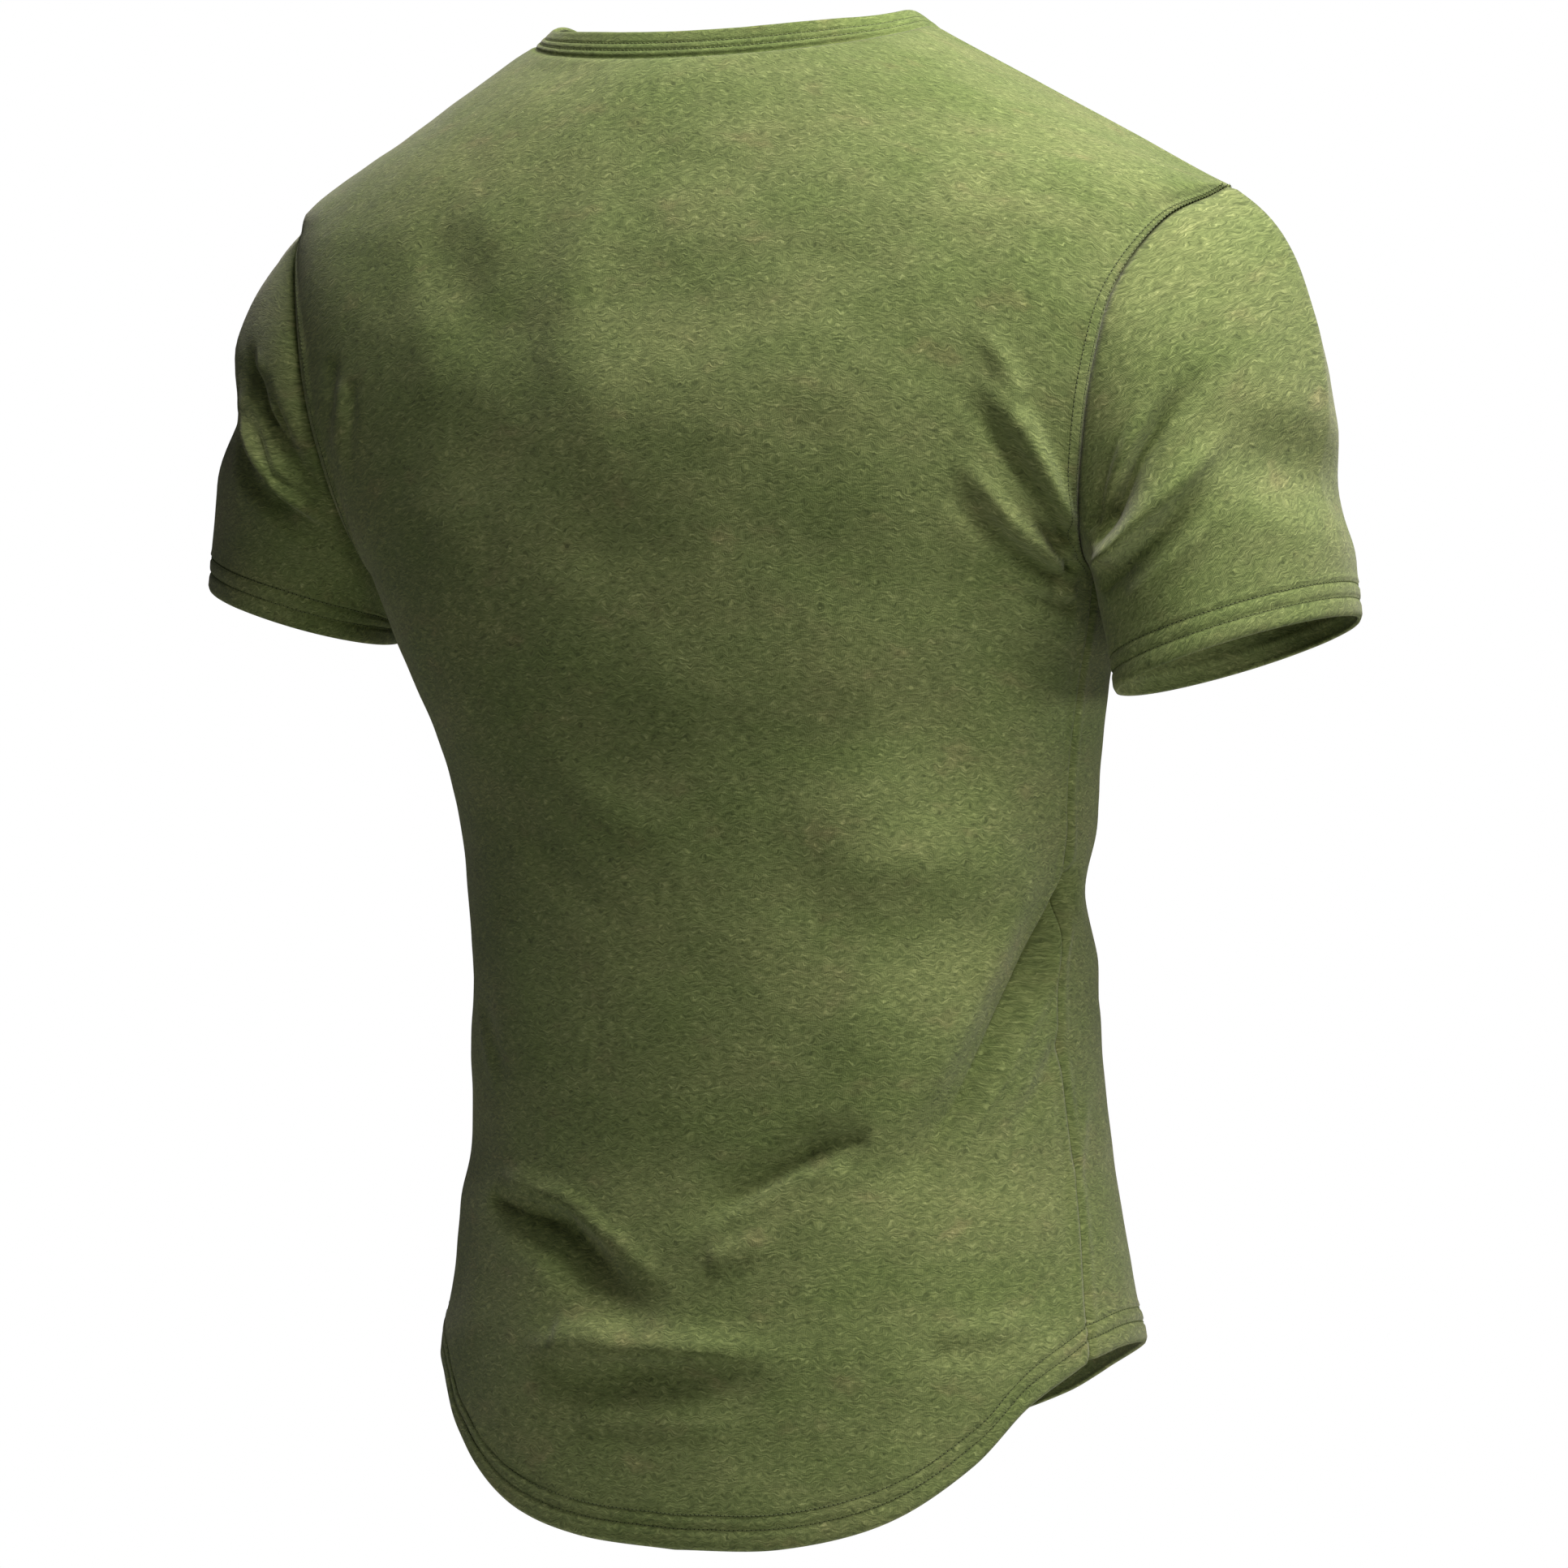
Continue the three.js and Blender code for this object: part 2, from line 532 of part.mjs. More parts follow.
// Outer and inner point of a sleeve's net
function sleeveNode(side, panel, place, along) {
  const cuff = CUFFS[side];
  const toSide = new THREE.Vector3(cuff.mirror, 1, 1);
  if (along === 0) {
    const seam = armSeam(panel, place, cuff);
    const point = seam.edge.addScaledVector(seam.over, SEAM_GAP / 2);
    return [point.clone().multiply(toSide), point.add(seam.inwards).multiply(toSide)];
  }
  const fromUnderarm = (UNDERARM - place) / (UNDERARM - SHOULDER_TIP) / 2;
  const round = panel === 'back' ? fromUnderarm : 1 - fromUnderarm;
  const surface = (a, b) => sleeveForm(a, b, cuff);
  const within = Math.min(along, LAST_SHARE);
  const normal = outward(surface, round, within, SHARE_STEP, SHARE_STEP, 1).multiply(toSide);
  const point = surface(round, along).multiply(toSide);
  point.addScaledVector(normal, foldRise(side, point, normal));
  return [point, point.clone().addScaledVector(normal, -JERSEY)];
}

function sleeveMesh(side) {
  const upBack = rowPlaces(SHOULDER_TIP, UNDERARM).reverse().map((place) => ['back', place]);
  const downFront = rowPlaces(SHOULDER_TIP, UNDERARM).slice(1, -1).map((place) => ['front', place]);
  const nodes = Array.from({ length: SLEEVE_STEPS + 1 }, (_, step) => (
    [...upBack, ...downFront].map(([panel, place]) => sleeveNode(side, panel, place, step / SLEEVE_STEPS))
  ));
  const outer = nodes.map((row) => row.map((node) => node[0]));
  const inner = nodes.map((row) => row.map((node) => node[1]));
  return pieceMesh(`sleeve_${side}`, wallGeometry(outer, inner, { round: true }), COLOURS.jersey);
}

// Share across the front where the cloth is a distance from the middle
function frontShare(distance, level) {
  const { length } = section('front', placeOf(BODY, 'level', level));
  const first = 1 / PANEL_COLUMNS;
  const away = Math.abs(distance);
  if (away <= SLOT_HALF) return (Math.sign(distance) * first * away) / SLOT_HALF;
  return Math.sign(distance) * (first + ((1 - first) * (away - SLOT_HALF)) / (length - SLOT_HALF));
}

// The way up the neckband at a point of the neck seam
function bandWay(seam) {
  const toSide = Math.min(Math.abs(seam.x) / NECK_HALF, 1) ** 2;
  const side = new THREE.Vector3(-Math.sign(seam.x) * BAND_LEAN.side, 0, 1).normalize();
  const ends = seam.y > 0 ? -BAND_LEAN.back : BAND_LEAN.front;
  const middle = new THREE.Vector3(0, ends, 1).normalize();
  return side.multiplyScalar(toSide).addScaledVector(middle, 1 - toSide).normalize();
}

function neckSeamPoint(panel, share) {
  return formPoint(panel, share, neckLevel(panel, share));
}

// Net of a strip of the placket: from its lower end up the front and over the band
function stripNode(distance, step, lowest) {
  const share = frontShare(distance, -NECK_DROP.front);
  const seamLevel = neckLevel('front', Math.abs(share));
  if (step <= STRIP_STEPS) {
    const level = lowest + ((seamLevel - lowest) * step) / STRIP_STEPS;
    const here = frontShare(distance, level);
    return [formPoint('front', here, level), formNormal('front', here, level)];
  }
  const seam = neckSeamPoint('front', share);
  const way = bandWay(seam);
  const height = ((step - STRIP_STEPS) * BAND_HEIGHT) / STRIP_BAND_STEPS;
  return [seam.addScaledVector(way, height), new THREE.Vector3(1, 0, 0).cross(way).normalize()];
}

function stripMesh(name, halfWidth, lowest, outerOffset, innerOffset) {
  const distances = [-1, -0.5, 0, 0.5, 1].map((share) => share * halfWidth);
  const nodes = Array.from({ length: STRIP_STEPS + STRIP_BAND_STEPS + 1 }, (_, step) => (
    distances.map((distance) => stripNode(distance, step, lowest))
  ));
  const offset = (amount) => nodes.map((row) => (
    row.map(([point, normal]) => point.clone().addScaledVector(normal, amount))
  ));
  return pieceMesh(name, wallGeometry(offset(outerOffset), offset(innerOffset)), COLOURS.strip);
}

// Neckband: a doubled band that stands on the neck seam, from one side of the placket
// round the back of the neck to the other side
function neckbandMesh() {
  const half = Array.from({ length: PANEL_COLUMNS }, (_, i) => (i + 1) / PANEL_COLUMNS);
  const seams = [
    ...half.slice(0, -1).map((share) => neckSeamPoint('front', share)),
    ...half.slice().reverse().map((share) => neckSeamPoint('back', share)),
    neckSeamPoint('back', 0),
    ...half.map((share) => neckSeamPoint('back', -share)),
    ...half.slice(0, -1).reverse().map((share) => neckSeamPoint('front', -share)),
  ];
  const normals = seams.map((seam, i) => {
    const along = seams[Math.min(i + 1, seams.length - 1)].clone().sub(seams[Math.max(i - 1, 0)]);
    return along.cross(bandWay(seam)).normalize();
  });
  const rows = (offset) => Array.from({ length: BAND_STEPS + 1 }, (_, step) => seams.map((seam, i) => (
    seam.clone()
      .addScaledVector(bandWay(seam), SEAM_GAP + ((BAND_HEIGHT - SEAM_GAP) * step) / BAND_STEPS)
      .addScaledVector(normals[i], offset)
  )));
  return pieceMesh('neckband', wallGeometry(rows(0), rows(-BAND_CLOTH)), COLOURS.band);
}

// Round button with a raised rim, lying on the upper strip
function buttonMesh(name, drop) {
  const { radius, height, rim, dish, sides } = BUTTON;
  const profile = [
    [0, 0], [radius - rim / 2, 0], [radius, height / 3], [radius, (2 * height) / 3],
    [radius - rim / 2, height], [radius - rim, height], [radius - 2 * rim, height - dish], [0, height - dish],
  ].map(([across, up]) => new THREE.Vector2(across, up));
  const mesh = pieceMesh(name, new THREE.LatheGeometry(profile, sides), COLOURS.button, 0.4);
  const level = -NECK_DROP.front - drop;
  const normal = formNormal('front', 0, level);
  mesh.position.copy(formPoint('front', 0, level));
  mesh.position.addScaledVector(normal, 2 * LAY_GAP + STRIP_CLOTH);
  mesh.quaternion.setFromUnitVectors(new THREE.Vector3(0, 1, 0), normal);
  return mesh;
}

// Lower end of the cut in the front, where the net's rows end it
function slotFloor() {
  const levels = rowPlaces(0, LAST_STATION).map((place) => netLevel('front', 0, place));
  return levels.find((level) => level < -NECK_DROP.front - SLOT_LENGTH);
}

const shirt = new THREE.Group();
shirt.add(panelMesh('back'));
shirt.add(panelMesh('front'));
shirt.add(sleeveMesh('left'));
shirt.add(sleeveMesh('right'));
shirt.add(neckbandMesh());
shirt.add(stripMesh('placket_under', SLOT_HALF - SEAM_GAP, slotFloor() + SEAM_GAP, 0, -STRIP_CLOTH));
shirt.add(stripMesh(
  'placket_upper', STRIP_HALF, -NECK_DROP.front - STRIP_LENGTH, LAY_GAP + STRIP_CLOTH, LAY_GAP,
));
BUTTON_DROPS.forEach((drop, i) => shirt.add(buttonMesh(`button_${i + 1}`, drop)));

export default shirt;
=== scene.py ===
# A short-sleeved henley shirt in heathered olive jersey, filled out as it is when worn
# and seen from behind. Its front faces -Y and its back +Y, and +X is its own left side.
# Cut sizes are in millimetres, as a pattern gives them, and every mesh is made in metres,
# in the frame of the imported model.

import math

import bmesh
import bpy
import numpy as np
from mathutils import Matrix, Vector, noise


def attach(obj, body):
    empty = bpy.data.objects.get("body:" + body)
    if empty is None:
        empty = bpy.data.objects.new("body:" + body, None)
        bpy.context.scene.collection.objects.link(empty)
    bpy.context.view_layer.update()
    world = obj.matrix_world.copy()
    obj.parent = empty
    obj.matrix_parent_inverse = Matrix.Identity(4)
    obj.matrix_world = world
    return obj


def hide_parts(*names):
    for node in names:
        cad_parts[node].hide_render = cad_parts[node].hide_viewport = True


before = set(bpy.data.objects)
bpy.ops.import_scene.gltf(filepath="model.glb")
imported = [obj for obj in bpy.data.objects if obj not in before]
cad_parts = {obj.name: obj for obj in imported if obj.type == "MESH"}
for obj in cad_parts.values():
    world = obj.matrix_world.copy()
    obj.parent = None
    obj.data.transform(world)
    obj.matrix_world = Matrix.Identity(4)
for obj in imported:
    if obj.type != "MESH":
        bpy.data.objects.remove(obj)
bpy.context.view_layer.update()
MM = 0.001


# Camera, backdrop and light
# The shirt is seen from behind and a little from its own right, on a plain pale backdrop.
# Four soft lamps light it, the strongest from above and a little to the right, and its
# left side falls into shade.
CAMERA_BEARING = math.radians(205)
CAMERA_DISTANCE = 3.2
CAMERA_LEVEL = -0.342
PICTURE_PIXELS = 1932
PIXELS_TO_A_MM = 2.7
PICTURE_WIDTH = PICTURE_PIXELS / PIXELS_TO_A_MM * MM
PICTURE_MIDDLE = 0.021

towards_camera = Vector((math.sin(CAMERA_BEARING), -math.cos(CAMERA_BEARING), 0))
picture_right = Vector((math.cos(CAMERA_BEARING), math.sin(CAMERA_BEARING), 0))
target = picture_right * PICTURE_MIDDLE + Vector((0, 0, CAMERA_LEVEL))
camera_data = bpy.data.cameras.new("camera")
camera_data.lens = camera_data.sensor_width * CAMERA_DISTANCE / PICTURE_WIDTH
camera = bpy.data.objects.new("camera", camera_data)
camera.location = target + towards_camera * CAMERA_DISTANCE
camera.rotation_euler = (-towards_camera).to_track_quat("-Z", "Y").to_euler()
bpy.context.scene.collection.objects.link(camera)
bpy.context.scene.camera = camera

FLOOR_LEVEL = -1.15
FLOOR_REACH = 1.1
FLOOR_COLOUR = (0.93, 0.93, 0.92, 1)
floor_shape = bmesh.new()
bmesh.ops.create_circle(floor_shape, cap_ends=True, segments=64, radius=FLOOR_REACH)
bmesh.ops.translate(floor_shape, verts=floor_shape.verts, vec=(0, 0, FLOOR_LEVEL))
floor_mesh = bpy.data.meshes.new("floor")
floor_shape.to_mesh(floor_mesh)
floor_shape.free()
floor = bpy.data.objects.new("floor", floor_mesh)
bpy.context.scene.collection.objects.link(floor)
floor_paint = bpy.data.materials.new("floor_paint")
floor_paint.use_nodes = True
floor_shader = floor_paint.node_tree.nodes["Principled BSDF"]
floor_shader.inputs["Base Color"].default_value = FLOOR_COLOUR
floor_shader.inputs["Roughness"].default_value = 0.8
floor_mesh.materials.append(floor_paint)

world = bpy.data.worlds.new("studio")
world.use_nodes = True
bpy.context.scene.world = world
world_nodes = world.node_tree.nodes
world_links = world.node_tree.links
room = world_nodes["Background"]
room.inputs["Color"].default_value = (1, 1, 1, 1)
room.inputs["Strength"].default_value = 0.05
backdrop = world_nodes.new("ShaderNodeBackground")
backdrop.inputs["Color"].default_value = (1, 1, 1, 1)
backdrop.inputs["Strength"].default_value = 1.0
seen = world_nodes.new("ShaderNodeLightPath")
choose = world_nodes.new("ShaderNodeMixShader")
world_links.new(seen.outputs["Is Camera Ray"], choose.inputs["Fac"])
world_links.new(room.outputs["Background"], choose.inputs[1])
world_links.new(backdrop.outputs["Background"], choose.inputs[2])
world_links.new(choose.outputs["Shader"], world_nodes["World Output"].inputs["Surface"])
bpy.context.scene.view_settings.view_transform = "Standard"


LAMP_AIM = -0.25


def soft_lamp(name, right, near, up, size, power):
    """A square soft lamp, placed as the camera sees it and aimed at the shirt's chest."""
    lamp_data = bpy.data.lights.new(name, "AREA")
    lamp_data.size = size
    lamp_data.energy = power
    lamp = bpy.data.objects.new(name, lamp_data)
    lamp.location = picture_right * right + towards_camera * near + Vector((0, 0, up))
    aim = Vector((0, 0, LAMP_AIM)) - lamp.location
    lamp.rotation_euler = aim.to_track_quat("-Z", "Y").to_euler()
    bpy.context.scene.collection.objects.link(lamp)


soft_lamp("key_lamp", right=0.5, near=0.6, up=1.08, size=0.8, power=39)
soft_lamp("near_lamp", right=0.5, near=1.85, up=0.85, size=0.8, power=7)
soft_lamp("side_lamp", right=1.85, near=0.95, up=-0.1, size=0.6, power=12)
soft_lamp("far_lamp", right=-0.6, near=-2.2, up=1.2, size=1.6, power=2)


# Back and front panels
# Each is one piece of jersey from the shoulders to the curved shirt-tail hem. A net of
# rows down the panel and columns across it lies on the worn form, then the folds, the
# turned hem and the pull of the seams lift or sink it.
JERSEY = 1.6
NECK_HALF = 97
NECK_DROP = {"back": 14.5, "front": 88}
SHOULDER_TIP = 3
UNDERARM = 10
WAIST = 14
LAST_STATION = 20
SIDE_FIRST = 1 / 16          # share across the front that ends at the placket's slot
SLOT_HALF = 11
SLOT_LENGTH = 126


def table(names, rows):
    """Columns of numbers, by name, from a short table."""
    return dict(zip(names.split(), np.array(rows, float).T))


# Stations down the side edge: its level, how far back or forward the middle of the panel
# lies, where the edge is, and how far the cloth has turned when it gets there
BODY = table("level backCentre backX backY backTurn frontCentre frontX frontY frontTurn", [
    [0, 42, 97, 0, 90, -46, 97, 0, 90],
    [-25, 61, 141.7, -8, 90, -56, 141.7, -8, 90],
    [-50, 73, 186.3, -16, 90, -63, 186.3, -16, 90],
    [-75, 82, 231, -24, 90, -70, 231, -24, 90],
    [-92, 87, 218, 18, 70, -80, 215, -58, 70],
    [-123, 93, 205, 45, 52, -102, 199, -80, 50],
    [-160, 97, 197, 53, 42, -121, 190, -89, 40],
    [-195, 97, 190, 48, 46, -131, 186, -84, 46],
    [-222, 97, 184, 37, 58, -134, 182, -66, 62],
    [-240, 96, 180, 22, 70, -136, 181, -39, 82],
    [-250, 95.5, 179, 6, 82, -136.5, 179, 6, 98],
    [-275, 92, 172, -3, 83, -138, 172, -3, 97],
    [-300, 88, 164, -12, 84, -141, 164, -12, 96],
    [-340, 78, 153, -27, 83, -149, 153, -27, 97],
    [-392, 71, 149, -34, 80, -153, 149, -34, 100],
    [-429, 66, 147.5, -28, 76, -157, 147.5, -28, 104],
    [-466, 63, 148.5, -29, 76, -160, 148.5, -29, 104],
    [-510, 59, 151, -36, 76, -166, 151, -36, 104],
    [-540, 60, 156.5, -32, 74, -169, 156.5, -32, 106],
    [-577, 63, 160.5, -28, 71, -175, 160.5, -28, 109],
    [-601, 65, 164, -25, 70, -180, 164, -25, 110],
    [-650, 66, 166, -25, 70, -183, 166, -25, 110],
    [-700, 66, 167, -25, 70, -183, 167, -25, 110],
])
FULLNESS = 0.6

HEMS = {
    "back": table("share left right", [
        [0, -685, -685], [0.25, -681, -683], [0.48, -668, -671], [0.68, -641, -646],
        [0.82, -615, -620], [1, -601, -601],
    ]),
    "front": table("share left right", [
        [0, -648, -648], [0.2, -645, -644], [0.38, -632, -629], [0.55, -614, -611],
        [0.72, -601, -599], [0.88, -597, -596], [1, -601, -601],
    ]),
}
NECK_REACH = {"back": 80, "front": 200}
NECK_EASE = 1.2
NECK_STEPS = 30              # halvings that find the level of the neck seam
HEM_START = -400
HEM_EASE = 1.3
PLACES_A_ROW = 200


def smooth(rows, column, place, corners=()):
    """Value of a column at places between rows, smooth but at its corner rows."""
    values = rows[column]
    last = len(values) - 1
    i = np.clip(np.floor(place).astype(int), 0, last - 1)
    part = place - i
    step = values[i + 1] - values[i]
    start = np.where(np.isin(i, (0, *corners)), step, (values[i + 1] - values[np.maximum(i - 1, 0)]) / 2)
    end = np.where(
        np.isin(i + 1, (last, *corners)), step, (values[np.minimum(i + 2, last)] - values[i]) / 2
    )
    square, cube = part ** 2, part ** 3
    return (
        values[i] * (2 * cube - 3 * square + 1) + start * (cube - 2 * square + part)
        + values[i + 1] * (3 * square - 2 * cube) + end * (cube - square)
    )


def place_of(rows, column, value):
    """Places between rows where a column reaches values; it rises or falls all the way."""
    last = len(rows[column]) - 1
    places = np.linspace(0, last, last * PLACES_A_ROW + 1)
    reached = smooth(rows, column, places)
    sign = np.sign(reached[-1] - reached[0])
    return np.interp(sign * np.asarray(value, float), sign * reached, places)


def smoothstep(value):
    """Rises from 0 to 1 with soft ends while a value goes from 0 to 1."""
    clamped = np.clip(value, 0, 1)
    return clamped * clamped * (3 - 2 * clamped)


def unit(vectors):
    return vectors / np.maximum(np.linalg.norm(vectors, axis=-1, keepdims=True), 1e-9)


def edge_point(panel, place):
    """Points on the side edge of a panel, from the neck over the shoulder to the hem."""
    corners = (SHOULDER_TIP, UNDERARM)
    return np.stack([
        smooth(BODY, panel + "X", place, corners),
        smooth(BODY, panel + "Y", place, corners),
        smooth(BODY, "level", place),
    ], axis=-1)


def bezier(controls, t):
    """Points of cubic curves; controls are four arrays of points."""
    t = t[..., None]
    a, b, c, d = controls
    return a * (1 - t) ** 3 + 3 * b * t * (1 - t) ** 2 + 3 * c * t ** 2 * (1 - t) + d * t ** 3


SECTION_PARTS = 28


def section(panel, place):
    """Level section of half a panel at each place: its curve, and the length to each part."""
    edge = edge_point(panel, place)
    centre = smooth(BODY, panel + "Centre", place)
    turn = np.radians(smooth(BODY, panel + "Turn", place))
    to_edge = edge[..., 1] - centre
    handle = FULLNESS * np.abs(to_edge)
    controls = [
        np.stack([np.zeros_like(centre), centre], axis=-1),
        np.stack([FULLNESS * edge[..., 0], centre], axis=-1),
        np.stack([
            edge[..., 0] - handle * np.cos(turn),
            edge[..., 1] - handle * np.sin(turn) * np.sign(to_edge),
        ], axis=-1),
        edge[..., :2],
    ]
    parts = np.linspace(0, 1, SECTION_PARTS + 1)
    curve = bezier([c[..., None, :] for c in controls], np.broadcast_to(parts, centre.shape + parts.shape))
    chords = np.linalg.norm(np.diff(curve, axis=-2), axis=-1)
    reached = np.concatenate([np.zeros(centre.shape + (1,)), np.cumsum(chords, axis=-1)], axis=-1)
    return controls, reached


def form_point(panel, share, level):
    """Points on the plain form of a panel: share runs from -1 to 1 across it."""
    share, level = np.broadcast_arrays(np.asarray(share, float), np.asarray(level, float))
    controls, reached = section(panel, place_of(BODY, "level", level))
    length = reached[..., -1]
    across = np.abs(share)
    if panel == "front":
        slot = SLOT_HALF / length
        beyond = slot + (1 - slot) * (across - SIDE_FIRST) / (1 - SIDE_FIRST)
        across = np.where(across < SIDE_FIRST, slot * across / SIDE_FIRST, beyond)
    goal = np.minimum(across, 1) * length
    i = np.clip((reached <= goal[..., None]).sum(axis=-1) - 1, 0, SECTION_PARTS - 1)
    low = np.take_along_axis(reached, i[..., None], -1)[..., 0]
    high = np.take_along_axis(reached, i[..., None] + 1, -1)[..., 0]
    point = bezier(controls, (i + (goal - low) / (high - low)) / SECTION_PARTS)
    return np.stack([np.sign(share) * point[..., 0], point[..., 1], level], axis=-1)


def half_width(panel, level):
    """Length of cloth from the middle of a panel to its edge, at each level."""
    return section(panel, place_of(BODY, "level", np.asarray(level, float)))[1][..., -1]


def neck_level(panel, share):
    """Height of the neck seam at shares across a panel: an ellipse seen from the front."""
    drop = NECK_DROP[panel]
    low = np.full(share.shape, -float(drop))
    high = np.zeros(share.shape)
    for _ in range(NECK_STEPS):
        middle = (low + high) / 2
        outside = (form_point(panel, share, middle)[..., 0] / NECK_HALF) ** 2 + (middle / drop) ** 2 > 1
        low = np.where(outside, middle, low)
        high = np.where(outside, high, middle)
    return (low + high) / 2


def net_level(panel, share, place):
    """Height of a net's points: rows follow the neck at the top and the hem at the bottom."""
    edge_level = smooth(BODY, "level", place)
    neck_share = np.maximum(0, 1 + edge_level / NECK_REACH[panel]) ** NECK_EASE
    hem_place = place_of(HEMS[panel], "share", np.abs(share))
    left_hem = smooth(HEMS[panel], "left", hem_place)
    right_hem = smooth(HEMS[panel], "right", hem_place)
    hem = np.where(share > 0, left_hem, right_hem)
    last = BODY["level"][LAST_STATION]
    hem_share = np.maximum(0, (edge_level - HEM_START) / (last - HEM_START)) ** HEM_EASE
    return edge_level + neck_level(panel, np.abs(share)) * neck_share + (hem - last) * hem_share


def outward(surface, a, b, step_a, step_b, sign):
    """Directions square to a surface, from its points a small step away."""
    along_a = surface(a + step_a, b) - surface(a - step_a, b)
    along_b = surface(a, b + step_b) - surface(a, b - step_b)
    return unit(np.cross(along_a, along_b)) * sign


EDGE_SHARE = 0.998           # outward directions are taken just inside an edge and the top
TOP_LEVEL = -0.3
SHARE_PROBE = 0.001
LEVEL_PROBE = 0.2


def form_normal(panel, share, level):
    """Outward directions of the plain form of a panel."""
    within = np.clip(share, -EDGE_SHARE, EDGE_SHARE)
    below = np.minimum(level, TOP_LEVEL)
    sign = -1 if panel == "back" else 1
    return outward(lambda a, b: form_point(panel, a, b), within, below, SHARE_PROBE, LEVEL_PROBE, sign)


